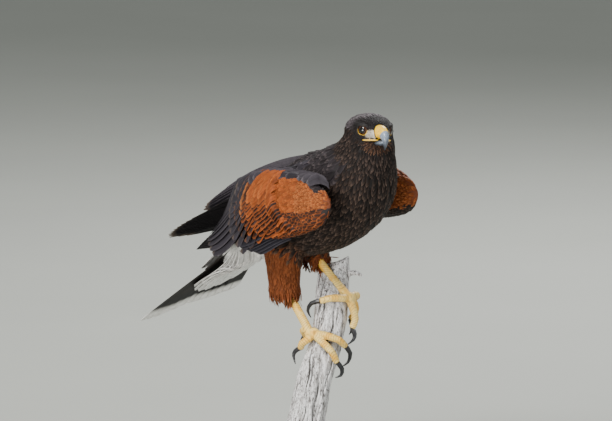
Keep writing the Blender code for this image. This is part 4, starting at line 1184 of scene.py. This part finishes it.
GREYED = (0.200, 0.170, 0.185)
TRACTS = {tract.name: tract for tract in (
    Tract("face", 0.00150, 0.0036, 0.00075, 0.0004,
          Paint((0.0050, 0.0040, 0.0040), (0.015, 0.011, 0.011), (0.046, 0.034, 0.033), spread=0.45),
          0.0, 5, 3),
    Tract("crown", 0.0022, 0.0078, 0.00145, 0.0008,
          Paint((0.0085, 0.0070, 0.0078), (0.060, 0.049, 0.054), GREYED, 0.40, 0.66, 0.50, tip_soft=0.34),
          0.0, 5, 3),
    Tract("throat", 0.0022, 0.0076, 0.0012, 0.0011,
          Paint((0.0060, 0.0042, 0.0036), (0.026, 0.016, 0.012), (0.078, 0.046, 0.033), spread=0.50),
          0.0, 5, 3),
    Tract("chin", 0.0020, 0.0066, 0.0009, 0.0012,
          Paint((0.020, 0.010, 0.006), (0.080, 0.038, 0.022), (0.200, 0.105, 0.062), spread=0.50), 0.0, 5, 3),
    Tract("bristle", 0.0013, 0.0040, 0.00016, 0.0010,
          Paint((0.02, 0.017, 0.015), (0.03, 0.025, 0.02), (0.06, 0.05, 0.04)), 0.3, 4, 3),
    Tract("neck", 0.0030, 0.0125, 0.0017, 0.0012,
          Paint(CHOCOLATE, (0.024, 0.0155, 0.013), (0.080, 0.053, 0.042), 0.55, 0.70, 0.55)),
    Tract("breast", 0.0038, 0.0175, 0.0024, 0.0016,
          Paint(CHOCOLATE, CHOCOLATE_MID, CHOCOLATE_EDGE, 0.55, 0.72, 0.55)),
    Tract("belly", 0.0040, 0.0200, 0.0026, 0.0018,
          Paint((0.010, 0.006, 0.0045), (0.042, 0.022, 0.014), (0.120, 0.062, 0.038), 0.5, 0.70, 0.50)),
    Tract("mantle", 0.0050, 0.0205, 0.0044, 0.0018,
          Paint((0.016, 0.0125, 0.014), (0.042, 0.034, 0.038), (0.105, 0.084, 0.086), 0.55, 0.80, 0.34,
                tip_soft=0.2)),
    Tract("scapular", 0.0066, 0.0270, 0.0066, 0.0022,
          Paint(SLATE, SLATE_MID, SLATE_EDGE, 0.6, 0.86, 0.28, tip_soft=0.13), 0.0, 8, 5),
    Tract("rump", 0.0060, 0.0290, 0.0056, 0.0026,
          Paint((0.74, 0.71, 0.68), (0.82, 0.80, 0.77), (0.90, 0.88, 0.86), spread=0.08)),
    Tract("vent", 0.0046, 0.0290, 0.0034, 0.0036,
          Paint((0.82, 0.80, 0.77), (0.88, 0.86, 0.84), (0.93, 0.92, 0.90), spread=0.07), 0.45, 6, 5, 0.2),
    Tract("lesser", 0.0026, 0.0088, 0.0023, 0.0009,
          Paint((0.150, 0.036, 0.010), RUFOUS, (0.40, 0.125, 0.036), 0.30, 0.60, 0.26), 0.0, 5, 3),
    Tract("lesser_mid", 0.0036, 0.0120, 0.0032, 0.0010, WARM_SCALES, 0.0, 6, 5),
    Tract("lesser_low", 0.0036, 0.0120, 0.0032, 0.0011, DARK_SCALES, 0.0, 6, 5),
    Tract("wing_edge", 0.0034, 0.0110, 0.0028, 0.0010,
          Paint((0.012, 0.009, 0.008), (0.050, 0.032, 0.024), (0.090, 0.060, 0.046), spread=0.30)),
    Tract("hem", 0.0022, 0.0150, 0.0010, 0.0026,
          Paint((0.145, 0.036, 0.010), (0.175, 0.046, 0.013), (0.230, 0.075, 0.026), 0.4, 0.6, 0.26),
          0.80, 6, 3, 0.2),
    Tract("legging", 0.0022, 0.0130, 0.0012, 0.0014,
          Paint((0.140, 0.034, 0.009), (0.165, 0.043, 0.012), (0.195, 0.056, 0.017), 0.4, 0.6, 0.26),
          0.25, 6, 3, 0.15),
)}


@dataclass
class Skin:
    """One skin over the head, neck, body and thighs, the arms of the wings and the root of the tail."""

    anatomy: Anatomy
    face: Face
    wings: Sequence[Wing]
    tail: Tail
    voxel: float = 0.0016
    depth: float = 0.0016
    head_depth: float = 0.0006
    undercoat: float = 0.8
    yellow: Colour = (0.82, 0.48, 0.03)
    cream: Colour = (0.46, 0.41, 0.33)
    rim: float = 0.0082
    piece: bpy.types.Object | None = None
    tree: BVHTree | None = None

    def build(self) -> None:
        """Joins the flesh, remeshes it as one surface and sinks it by the coat's depth."""
        flesh = [Bench.copied("flesh", *FLESH)]
        flesh += [wing.arm() for wing in self.wings] + [self.tail.core_piece()]
        self.piece = Bench.rounded(Bench.joined("skin", flesh), self.voxel, 12)
        mesh = self.piece.data
        places, normals = Bench.read(mesh)
        off_head = np.linalg.norm(places - np.array(self.anatomy.head_centre), axis=1)
        sunk = self.head_depth + (self.depth - self.head_depth) * smoothed((off_head - 0.026) / 0.02)
        places = places - normals * sunk[:, None]
        mesh.vertices.foreach_set("co", places.ravel())
        Bench.apply(self.piece, "SMOOTH", iterations=3, factor=0.5)
        Bench.edit(self.piece, lambda: bpy.ops.uv.smart_project(angle_limit=math.radians(66),
                                                                island_margin=0.001))
        mesh.uv_layers[0].name = BAKE_MAP
        mesh.shade_smooth()
        self.tree = BVHTree.FromPolygons([v.co for v in mesh.vertices], [p.vertices for p in mesh.polygons])

    def dress(self, coat: "Coat") -> None:
        """Colours the skin as the coat over it, or yellow where the face is bare."""
        mesh = self.piece.data
        tints, bare = np.ones((len(mesh.vertices), 4), np.float32), np.zeros(len(mesh.vertices), np.float32)
        yellow, cream = np.array(self.yellow), np.array(self.cream)
        for i, vertex in enumerate(mesh.vertices):
            middle = np.array(coat.tract_of(vertex.co, vertex.normal).paint.middle) * self.undercoat
            near = (vertex.co - self.anatomy.head_centre).length < HEAD_REACH
            bare[i] = self.face.bare(vertex.co) if near else 0.0
            ring = self.face.off_eye(vertex.co)
            bald = cream + (yellow - cream) * (1 - ease((ring - self.rim) / 0.0016))
            tints[i, :3] = middle + (bald - middle) * bare[i]
        Bench.mark(mesh, tint=tints, bare=bare)
        Bench.dress(self.piece, SkinFinish(), "dark_plumage", *FLESH)


@dataclass
class Coat:
    """The body feathers: roots spread evenly over the skin, each feather lying over the next."""

    anatomy: Anatomy
    face: Face
    skin: Skin
    bones: list[Bone]
    limit: int = 1600
    cling: float = 0.004
    reach: float = 0.020
    seed: int = 7
    underside: float = -0.30
    hems: tuple[float, float] = (0.250, 0.286)
    darts: float = 5.0
    white_reach: float = 0.062
    belly_reach: float = 0.125
    follow: float = 0.7
    droop: float = 0.02
    root_depth: float = 0.0005
    chin_run: tuple[float, float] = (0.008, 0.019)
    chin_top: float = -0.0105
    lore_width: float = 0.0040
    face_from: float = 0.014
    eye_ring: float = 0.0125
    crown_from: float = 0.004
    trunk_middle: Vector = field(default_factory=lambda: Vector((0.024, 0.006, 0.350)))
    shoulder: Vector = field(default_factory=lambda: Vector((0.036, -0.006, 0.385)))
    _ends: np.ndarray = field(init=False)

    def __post_init__(self) -> None:
        """Keeps the bones' places as an array."""
        self._ends = np.array([(*bone.place, 1 / bone.reach) for bone in self.bones])

    def near_bones(self, point: Vector) -> np.ndarray:
        """Each bone's distance from a point, in its own reach."""
        return np.linalg.norm(self._ends[:, :3] - np.array(point), axis=1) * self._ends[:, 3]

    def tract_of(self, point: Vector, normal: Vector) -> Tract:
        """The kind of feather that grows at a place on the skin.

        Args:
            point: the place.
            normal: the skin's direction outwards there.
        Returns:
            The tract.
        """
        bone = self.bones[int(np.argmin(self.near_bones(point)))]
        forward = heading(self.anatomy.trunk_heading)
        side = (point - self.trunk_middle).dot(right_of(forward))
        rear = (self.anatomy.tail_root - point).length
        if bone.region == "head":
            return self._head_tract(point)
        if bone.region == "neck":
            return TRACTS["neck"] if normal.z < 0.55 else TRACTS["mantle"]
        if bone.region.endswith("wing"):
            sign = Hand.RIGHT.value if bone.region.startswith("right") else Hand.LEFT.value
            along = (point - Vector(WRISTS)).dot(-forward)
            inward = normal.dot(right_of(forward)) * sign < -0.25
            if sign == Hand.LEFT.value and along < 0.055:
                return TRACTS["lesser" if normal.z > -0.5 else "wing_edge"]
            if normal.z > 0.74 and along > 0.006:
                return TRACTS["scapular" if along > 0.024 else "mantle"]
            if inward:
                return TRACTS["wing_edge"]
            if "low" in bone.region:
                return TRACTS["lesser_low"]
            return TRACTS["lesser_mid" if "rear" in bone.region else "lesser"]
        if bone.region == "thigh":
            right_leg = point.y < 0.034 and point.x < 0.0
            return TRACTS["hem" if point.z < self.hems[0 if right_leg else 1] else "legging"]
        if bone.region == "rump":
            return TRACTS["rump"] if normal.z > 0 else TRACTS["vent"]
        if rear < self.white_reach + 0.006 * math.sin(side * 300):
            return TRACTS["rump"] if normal.z > 0.2 else TRACTS["vent"]
        if normal.z > 0.25 and normal.dot(forward) < 0.55:
            fore = (point - self.shoulder).dot(forward)
            return TRACTS["scapular"] if abs(side) > 0.024 and rear > 0.07 and fore < 0 else TRACTS["mantle"]
        return TRACTS["belly"] if rear < self.belly_reach else TRACTS["breast"]

    def _head_tract(self, point: Vector) -> Tract:
        """The kind of feather at a place on the head."""
        ahead, _, up = self.anatomy.head_frame()
        off = point - self.anatomy.head_centre
        forward, above = off.dot(ahead), off.dot(up)
        start, chin = self.chin_run
        if forward > start and above < self.chin_top:
            return TRACTS["chin" if forward > chin else "throat"]
        if min(self.face.lore(point, hand) for hand in Hand) < self.lore_width:
            return TRACTS["bristle"]
        if forward > self.face_from or self.face.off_eye(point) < self.eye_ring:
            return TRACTS["face"]
        return TRACTS["crown" if above > self.crown_from else "throat"]

    def lie_at(self, point: Vector, normal: Vector) -> Vector:
        """The direction that feathers run at a place on the skin."""
        near = self.near_bones(point)
        weights = 1 / np.maximum(near, 0.05) ** 7
        weights = weights / weights.sum()
        lie = Vector((0, 0, 0))
        for i in np.argsort(-weights)[:8]:
            lie += self.bones[int(i)].lie * float(weights[i])
        if lie.z < -0.2 and abs(normal.z) < 0.3:
            lie.z -= 0.2
        flat = lie - normal * lie.dot(normal)
        if flat.length < 0.15:
            flat = Vector((0, 0, -1)) + normal * normal.z
        return flat.normalized()

    def roots(self) -> dict[str, list[tuple]]:
        """Spreads the feathers' roots by throwing darts at the skin.

        Returns:
            For each tract, its roots: a place, the skin's direction there and a place on its baking map.
        """
        draw = np.random.default_rng(self.seed)
        mesh = self.skin.piece.data
        uvs = np.empty(len(mesh.loops) * 2, np.float32)
        mesh.uv_layers[BAKE_MAP].data.foreach_get("uv", uvs)
        uvs = uvs.reshape(-1, 2)
        darts = []
        for face in mesh.polygons:
            tract = self.tract_of(face.center, face.normal)
            wanted = self.darts * face.area / tract.spacing ** 2
            if tract.name == "hem" and face.normal.z < self.underside:
                continue
            for _ in range(int(wanted + draw.random())):
                darts.append((draw.random(), face.index, tract.name))
        darts.sort()
        grids: dict[str, dict] = {name: {} for name in TRACTS}
        found: dict[str, list[tuple]] = {name: [] for name in TRACTS}
        for _, index, name in darts:
            face = mesh.polygons[index]
            share = draw.dirichlet((1.0,) * len(face.vertices))
            corners = [mesh.vertices[v].co for v in face.vertices]
            place = sum((c * float(s) for c, s in zip(corners, share)), Vector((0, 0, 0)))
            gap = TRACTS[name].spacing
            cell = tuple(int(math.floor(v / gap)) for v in place)
            grid = grids[name]
            around = (tuple(c + d for c, d in zip(cell, off)) for off in product((-1, 0, 1), repeat=3))
            if any((place - other).length < gap for one in around for other in grid.get(one, ())):
                continue
            if self._bald(place, name == "bristle"):
                continue
            grid.setdefault(cell, []).append(place)
            turned = (mesh.vertices[v].normal * float(s) for v, s in zip(face.vertices, share))
            normal = sum(turned, Vector((0, 0, 0)))
            patch = sum(uvs[loop] * s for loop, s in zip(face.loop_indices, share))
            found[name].append((place, normal.normalized(), tuple(float(v) for v in patch)))
        return found

    def _bald(self, place: Vector, bristled: bool) -> bool:
        """Whether a place is bare face, where nothing grows."""
        near = (place - self.anatomy.head_centre).length < HEAD_REACH
        return near and self.face.bare(place) > 0.45 and not bristled

    def spine_from(self, root: Vector, normal: Vector, tract: Tract, length: float, steps: np.ndarray,
                   turn: float) -> tuple[list, list, list]:
        """Walks one feather's spine over the skin.

        Args:
            root: its root on the skin.
            normal: the skin's direction there.
            tract: its kind.
            length: its length in metres.
            steps: the share of its length at each row.
            turn: a small turn of its direction in radians.
        Returns:
            Its points, the directions across it and the directions off the body.
        """
        lie = self.lie_at(root, normal)
        side = lie.cross(normal)
        lie = (lie * math.cos(turn) + side * math.sin(turn)).normalized()
        spine, across, normals = [], [], []
        point, stride = root.copy(), length / (len(steps) - 1)
        for k, t in enumerate(steps):
            if k:
                ahead = point + lie * stride
                near, facing, _, gap = self.skin.tree.find_nearest(ahead)
                if gap < (self.cling if tract.stiff > 0.5 else self.reach):
                    point = near.lerp(ahead, tract.stiff)
                    normal = normal.lerp(facing, self.follow).normalized()
                else:
                    point = ahead
                lie = lie - normal * (lie.dot(normal) * (1 - tract.stiff))
                lie.z -= self.droop * tract.stiff
                lie.normalize()
            lift = tract.lift * ease(float(t) * 0.9) - self.root_depth * (1 - ease(float(t) * 5))
            spine.append(point + normal * lift)
            across.append(lie.cross(normal).normalized())
            normals.append(normal.copy())
        return spine, across, normals

    def build(self) -> None:
        """Builds the coat, one or more joined pieces for each tract."""
        draw = np.random.default_rng(self.seed + 1)
        for name, roots in self.roots().items():
            tract = TRACTS[name]
            shares = np.linspace(0, 1, tract.rows)
            wide = np.interp(shares, (0, 0.22, 0.5, 0.8, 0.93, 1), (0.42, 0.82, 1.0, 0.86, 0.55, 0.12))
            for part in range(0, len(roots), self.limit):
                label = f"coat_{name}_{part // self.limit + 1}"
                batch = Feathers(label, tract.rows, tract.columns, 0.00018, 0.16)
                for place, normal, patch in roots[part:part + self.limit]:
                    length = tract.length * draw.uniform(0.86, 1.12)
                    turn = draw.normal(0, 0.09)
                    spine, across, normals = self.spine_from(place, normal, tract, length, shares, turn)
                    lean = draw.normal(0, 0.10)
                    across = np.array(across) + np.array(normals) * lean
                    widths = wide * tract.half_width * draw.uniform(0.85, 1.12)
                    widths = widths * (1 + tract.rag * draw.normal(0, 1, len(wide)) * 0.4)
                    batch.add(np.array(spine), across, np.array(normals), widths,
                              tract.paint.tints(shares, batch.sides, draw), patch)
                slot = "rufous_plumage" if name in RUFOUS_TRACTS else "dark_plumage"
                Bench.dress(batch.built(), PlumageFinish(), slot)


@dataclass(frozen=True)
class WaxFinish:
    """Bare waxy skin: the cere, the lips and the rims of the eyes, and the dark lids, whose near-black colour
    is partly painted shade.
    """

    name: str
    pale: Colour
    deep: Colour
    roughness: float = 0.42

    def made(self) -> bpy.types.Material:
        """The finished material."""
        shader = Shader(self.name, Specular_IOR_Level=0.45, Coat_Roughness=0.3)
        mottle = shader.noise(420.0, 4.0)
        pores = shader.noise(2400.0, 2.0)
        return shader.set(Base_Color=shader.mix(mottle.step(0.38, 0.72), self.pale, self.deep),
                          Roughness=mottle * 0.2 + self.roughness - 0.1,
                          Normal=shader.bump(mottle * 0.6 + pores * 0.4, 0.00025)).material


@dataclass
class Head:
    """The hard and bare parts of the head: eyes and lids, lips, cere, nostrils and bill."""

    anatomy: Anatomy
    face: Face
    lid_open: float = 68.0
    brow_fall: float = 33.0
    cheek_rise: float = 4.0
    stops: int = 48
    cere: tuple = ((0.0225, 0.0010, 0.0085, 0.0088, 0), (0.0290, 0.0014, 0.0070, 0.0083, 8),
                   (0.0335, 0.0008, 0.0059, 0.0075, 20), (0.0364, -0.0009, 0.0054, 0.0067, 34))
    upper: tuple = ((0.0345, 0.0002, 0.0055, 0.0070, 25), (0.0380, -0.0019, 0.0050, 0.0062, 40),
                    (0.0405, -0.0052, 0.0042, 0.0053, 56), (0.0417, -0.0094, 0.0030, 0.0038, 78),
                    (0.0415, -0.0140, 0.0017, 0.0023, 95), (0.0407, -0.0184, 0.0006, 0.0007, 104))
    lower: tuple = ((0.0235, -0.0118, 0.0064, 0.0030, 0), (0.0300, -0.0114, 0.0054, 0.0029, 0),
                    (0.0350, -0.0106, 0.0040, 0.0022, 0), (0.0384, -0.0096, 0.0012, 0.0009, 0))
    nostril: tuple = (0.0335, 0.0062, 0.0018)
    yellow: WaxFinish = WaxFinish("rim_yellow", (0.88, 0.54, 0.030), (0.78, 0.38, 0.015))

    def horn(self, name: str, stations: Sequence[Sequence[float]]) -> bpy.types.Object:
        """Lofts a length of the bill through sections that lean over as it hooks down."""
        ahead, right, up = self.anatomy.head_frame()
        rows = rounded_rows(stations, 5)
        rises = [up * math.cos(math.radians(row[4])) + ahead * math.sin(math.radians(row[4])) for row in rows]
        centres = [self.anatomy.head_place(row[0], 0, row[1]) for row in rows]
        sizes = [(row[2], row[3], row[3]) for row in rows]
        piece = Bench.tube(name, centres, [right] * len(rows), rises, sizes, 40)
        piece.data.shade_smooth()
        return piece

    def bored(self, piece: bpy.types.Object) -> bpy.types.Object:
        """Hollows the two nostrils into the cere."""
        for hand in Hand:
            Bench.clear()
            bpy.ops.mesh.primitive_uv_sphere_add(segments=20, ring_count=12, radius=0.0013,
                                                 location=self.face.at(*self.nostril, hand))
            ball = bpy.context.object
            ball.scale = (1.0, 1.0, 1.5)
            bpy.ops.object.transform_apply(location=True, rotation=True, scale=True)
            Bench.apply(piece, "BOOLEAN", operation="DIFFERENCE", object=ball, solver="EXACT")
            bpy.data.objects.remove(ball)
        return piece

    def ring(self, name: str, hand: Hand, tilt: float, out: float, sizes: tuple[float, float, float],
             brow: float) -> bpy.types.Object:
        """Rolls a rim of skin round an eye, lower over the top of it than under it.

        Args:
            name: the piece's name.
            hand: which eye.
            tilt: how many degrees further from the eye's axis than the opening it lies.
            out: its height off the eyeball in metres.
            sizes: its half width, height and depth in metres.
            brow: how much stouter it is over the top, as a share.
        Returns:
            The closed ring.
        """
        centre, axis = self.face.eye_centre(hand), self.face.eye_axis(hand)
        _, _, up = self.anatomy.head_frame()
        level = axis.cross(up).normalized()
        upright = level.cross(axis)
        centres, across, rises, grown = [], [], [], []
        for k in range(self.stops + 1):
            angle = math.tau * (k % self.stops) / self.stops
            stout = 1 + brow * ease(math.sin(angle) * 2.0 + 0.3)
            grown.append(tuple(size * stout for size in sizes))
            radial = level * math.cos(angle) + upright * math.sin(angle)
            high, low = max(0.0, math.sin(angle)), max(0.0, -math.sin(angle))
            lidded = high ** 1.5 * self.brow_fall + low ** 2 * self.cheek_rise
            open_angle = math.radians(self.lid_open - lidded + tilt)
            facing = axis * math.cos(open_angle) + radial * math.sin(open_angle)
            centres.append(centre + facing * (self.face.eye_radius + out))
            across.append(radial * math.cos(open_angle) - axis * math.sin(open_angle))
            rises.append(facing)
        ring = Bench.tube(name, centres, across, rises, grown, 12)
        ring.data.shade_smooth()
        return ring

    def lips(self) -> list[bpy.types.Object]:
        """The yellow folds at the corners of the mouth."""
        made = []
        for hand in Hand:
            rows = rounded_rows([(0.0160, 0.0184, -0.0095, 0.0003), (0.0195, 0.0165, -0.0092, 0.0010),
                                 (0.0245, 0.0120, -0.0086, 0.0011), (0.0300, 0.0080, -0.0080, 0.0011),
                                 (0.0335, 0.0062, -0.0074, 0.0006)], 4)
            centres = [self.face.at(*row[:3], hand) for row in rows]
            _, _, up = self.anatomy.head_frame()
            sides = [((b - a).normalized()).cross(up).normalized() for a, b in zip(centres, centres[1:])]
            sides.append(sides[-1])
            sizes = [(row[3] * 1.3, row[3] * 0.8, row[3] * 0.8) for row in rows]
            made.append(Bench.tube("lip", centres, sides, [up] * len(rows), sizes, 14))
        return made

    def build(self) -> None:
        """Builds and dresses the eyes, lids, lips, cere and bill."""
        for hand in Hand:
            Bench.clear()
            centre, axis = self.face.eye_centre(hand), self.face.eye_axis(hand)
            turn = axis.to_track_quat("Z", "Y").to_euler()
            bpy.ops.mesh.primitive_uv_sphere_add(segments=64, ring_count=40, radius=self.face.eye_radius,
                                                 location=centre, rotation=turn)
            bpy.ops.object.transform_apply(location=True, rotation=True, scale=True)
            eye = bpy.context.object
            eye.name = "eyeball_" + hand.label
            eye.data.shade_smooth()
            Bench.dress(eye, EyeFinish("iris_" + hand.label, centre, axis), "eye_dark", "eye_" + hand.label)
        rims = [self.ring("rim", hand, 4.0, 0.0002, (0.0007, 0.0006, 0.0006), -0.85) for hand in Hand]
        rims += self.lips()
        Bench.dress(Bench.joined("eye_rims_and_lips", rims), self.yellow, "yellow_skin")
        lids = [self.ring("lid", hand, 13.0, 0.0002, (0.0010, 0.0007, 0.0010), 1.3) for hand in Hand]
        # The lids are dark skin painted near black: the extra darkness is painted shade under the brow ridge.
        dark = WaxFinish("lid_skin", (0.012, 0.009, 0.008), (0.006, 0.005, 0.005), 0.8)
        Bench.dress(Bench.joined("outer_lids", lids), dark, "dark_plumage")
        cere = self.bored(self.horn("cere_skin", self.cere))
        wax = WaxFinish("cere_yellow", (0.92, 0.58, 0.025), (0.86, 0.44, 0.012), 0.34)
        Bench.dress(cere, wax, "yellow_skin", "cere")
        start = self.anatomy.head_place(0.0340, 0, 0.002)
        for name, stations, node in (("bill_hook", self.upper, "upper_bill"),
                                     ("bill_lower", self.lower, "lower_bill")):
            horn = HornFinish(name + "_horn", (0.27, 0.33, 0.42), (0.018, 0.019, 0.024), start, 0.022)
            Bench.dress(self.horn(name, stations), horn, "bill_horn", node)


@dataclass
class Feet:
    """The shanks, toes and claws, gripping the branch."""

    voxel: float = 0.00060
    claw_voxel: float = 0.00035
    toes: tuple[str, ...] = ("inner", "middle", "outer", "hind")

    def build(self) -> None:
        """Builds and dresses both feet and their eight claws."""
        for hand in Hand:
            nodes = [hand.label + "_shank"] + [f"{hand.label}_toe_{toe}" for toe in self.toes]
            foot = Bench.rounded(Bench.copied(hand.label + "_foot", *nodes), self.voxel, 8)
            self._mark(foot, nodes)
            Bench.dress(foot, ScaleFinish(hand.label + "_leg_scales"), "yellow_skin", *nodes)
            for toe in self.toes:
                node = f"{hand.label}_claw_{toe}"
                claw = Bench.rounded(Bench.copied(f"{hand.label}_talon_{toe}", node), self.claw_voxel, 6)
                start = self._middle(f"{hand.label}_toe_{toe}")
                horn = HornFinish("talon_horn", (0.035, 0.032, 0.034), (0.010, 0.010, 0.012), start, 0.03, 0.3)
                Bench.dress(claw, horn, "claw_horn", node)

    @staticmethod
    def _middle(node: str) -> Vector:
        """The middle of a node's box."""
        lowest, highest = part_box(node)
        return (Vector(lowest) + Vector(highest)) / 2

    @classmethod
    def _mark(cls, foot: bpy.types.Object, nodes: Sequence[str]) -> None:
        """Gives the foot its distance along each toe or shank and how far each place faces outwards."""
        parts = [cls._middle(node) for node in nodes]
        mesh = foot.data
        course, top = np.zeros(len(mesh.vertices), np.float32), np.zeros(len(mesh.vertices), np.float32)
        hub = parts[0] * 0.25 + sum(parts[1:], Vector((0, 0, 0))) * (0.75 / (len(parts) - 1))
        for i, vertex in enumerate(mesh.vertices):
            course[i] = (vertex.co - hub).length if vertex.co.z < parts[0].z else vertex.co.z
            top[i] = min(1.0, max(0.0, 0.5 - 0.5 * vertex.normal.y))
        Bench.mark(mesh, course=course, top=top)
        mesh.shade_smooth()


@dataclass
class Perch:
    """The cut length of dead branch and the plain stand under it."""

    voxel: float = 0.0014
    depth: float = 0.0026
    cuts: int = 150
    levels: tuple[float, ...] = (0.048, 0.145, 0.277)
    middles_x: tuple[float, ...] = (-0.006, 0.011, 0.034)
    middles_y: tuple[float, ...] = (-0.016, -0.001, 0.041)

    def build(self) -> None:
        """Builds and dresses the branch, and gives the stand its finishes."""
        wood = Bench.rounded(Bench.copied("dead_branch", "perch_branch"), self.voxel, 4)
        mesh = wood.data
        draw = np.random.default_rng(23)
        places, normals = Bench.read(mesh)
        middle_x = np.interp(places[:, 2], self.levels, self.middles_x)
        middle_y = np.interp(places[:, 2], self.levels, self.middles_y)
        around = np.arctan2(places[:, 1] - middle_y, places[:, 0] - middle_x)
        furrow = np.zeros(len(places))
        for _ in range(self.cuts):
            centre, low = draw.uniform(-math.pi, math.pi), draw.uniform(0.03, 0.26)
            run, wide = draw.uniform(0.010, 0.055), draw.uniform(0.03, 0.085)
            drift = draw.uniform(-2.5, 2.5)
            off = np.angle(np.exp(1j * (around - centre - drift * (places[:, 2] - low)
                                        - 0.05 * np.sin(places[:, 2] * 160 + centre * 5))))
            ends = np.clip(1 - np.abs((places[:, 2] - low) / run), 0, 1) ** 0.5
            furrow = np.maximum(furrow, np.exp(-(off / wide) ** 2) * ends * draw.uniform(0.5, 1.0))
        ribs = 0.5 + 0.5 * np.sin(around * 13 + 1.7 * np.sin(places[:, 2] * 42))
        sunk = self.depth * furrow + 0.0005 * ribs
        mesh.vertices.foreach_set("co", (places - normals * sunk[:, None]).astype(np.float32).ravel())
        Bench.mark(mesh, furrow=furrow)
        mesh.shade_smooth()
        Bench.dress(wood, WoodFinish(), "grey_wood", "perch_branch")
        for node, finish in (("stand_base", StandWoodFinish()), ("stand_rod", RodFinish())):
            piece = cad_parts[node]
            for slot in piece.material_slots:
                slot.material = finish.made()


@dataclass
class Studio:
    """A plain pale floor, soft lights and the camera at the photograph's angle."""

    target: Vector = field(default_factory=lambda: Vector((0, 0, 0.3475)))
    elevation: float = 8.0
    distance: float = 8.0
    view_width: float = 0.7373
    sensor: float = 36.0
    sky: Colour = (0.80, 0.84, 0.82)
    sky_strength: float = 0.50
    lamps: tuple = (("key", (-1.3, -2.0, 2.6), 1.0, 125.0, (1.0, 0.98, 0.95)),
                    ("fill", (2.4, -2.2, 0.9), 2.4, 42.0, (0.95, 0.97, 1.0)),
                    ("back", (0.9, 2.2, 2.4), 1.2, 110.0, (1.0, 1.0, 1.0)),
                    ("low", (-1.2, -1.9, 0.25), 0.9, 48.0, (1.0, 0.99, 0.97)))

    def floor(self) -> None:
        """Lays a pale floor."""
        Bench.clear()
        bpy.ops.mesh.primitive_plane_add(size=40, location=(0, 0, 0))
        floor = bpy.context.object
        floor.name = "studio_floor"
        shader = Shader("pale_floor", Specular_IOR_Level=0.2)
        shade = shader.noise(3.0, 2.0)
        colour = shader.mix(shade, (0.36, 0.37, 0.34), (0.39, 0.40, 0.37))
        floor.data.materials.append(shader.set(Base_Color=colour, Roughness=shade * 0.1 + 0.8).material)

    def light(self, name: str, place: Vector, size: float, power: float, colour: Colour) -> None:
        """Hangs one square soft light that faces the bird."""
        lamp = bpy.data.lights.new(name, "AREA")
        lamp.size, lamp.energy, lamp.color = size, power, colour
        holder = bpy.data.objects.new(name, lamp)
        holder.location = place
        holder.rotation_euler = (self.target - place).to_track_quat("-Z", "Y").to_euler()
        bpy.context.scene.collection.objects.link(holder)

    def camera(self) -> None:
        """Sets the camera at the photograph's framing."""
        lens = bpy.data.cameras.new("photo_camera")
        lens.sensor_width = self.sensor
        lens.lens = self.sensor * self.distance / self.view_width
        lens.clip_end = 60.0
        holder = bpy.data.objects.new("photo_camera", lens)
        tilt = math.radians(self.elevation)
        holder.location = self.target + Vector((0, -math.cos(tilt), math.sin(tilt))) * self.distance
        holder.rotation_euler = (self.target - holder.location).to_track_quat("-Z", "Y").to_euler()
        bpy.context.scene.collection.objects.link(holder)
        bpy.context.scene.camera = holder

    def build(self) -> None:
        """Builds the floor, the lights, the world's light and the camera."""
        self.floor()
        self.camera()
        for name, place, size, power, colour in self.lamps:
            self.light(name, Vector(place), size, power, colour)
        world = bpy.data.worlds.new("studio")
        world.use_nodes = True
        sky = world.node_tree.nodes["Background"]
        sky.inputs["Color"].default_value = (*self.sky, 1)
        sky.inputs["Strength"].default_value = self.sky_strength
        bpy.context.scene.world = world


def main() -> None:
    """Builds each part of the bird, its perch and the studio in order."""
    logging.basicConfig(level=logging.INFO, format="%(message)s")
    anatomy = Anatomy()
    face = Face(anatomy)
    wings = [Wing(hand) for hand in Hand]
    tail = Tail(anatomy)
    skin = Skin(anatomy, face, wings, tail)
    skin.build()
    coat = Coat(anatomy, face, skin, anatomy.bones(wings))
    coat.build()
    skin.dress(coat)
    for part in (*wings, tail, Head(anatomy, face), Feet(), Perch(), Studio()):
        part.build()
    Bench.clear()


if __name__ == "__main__":
    main()
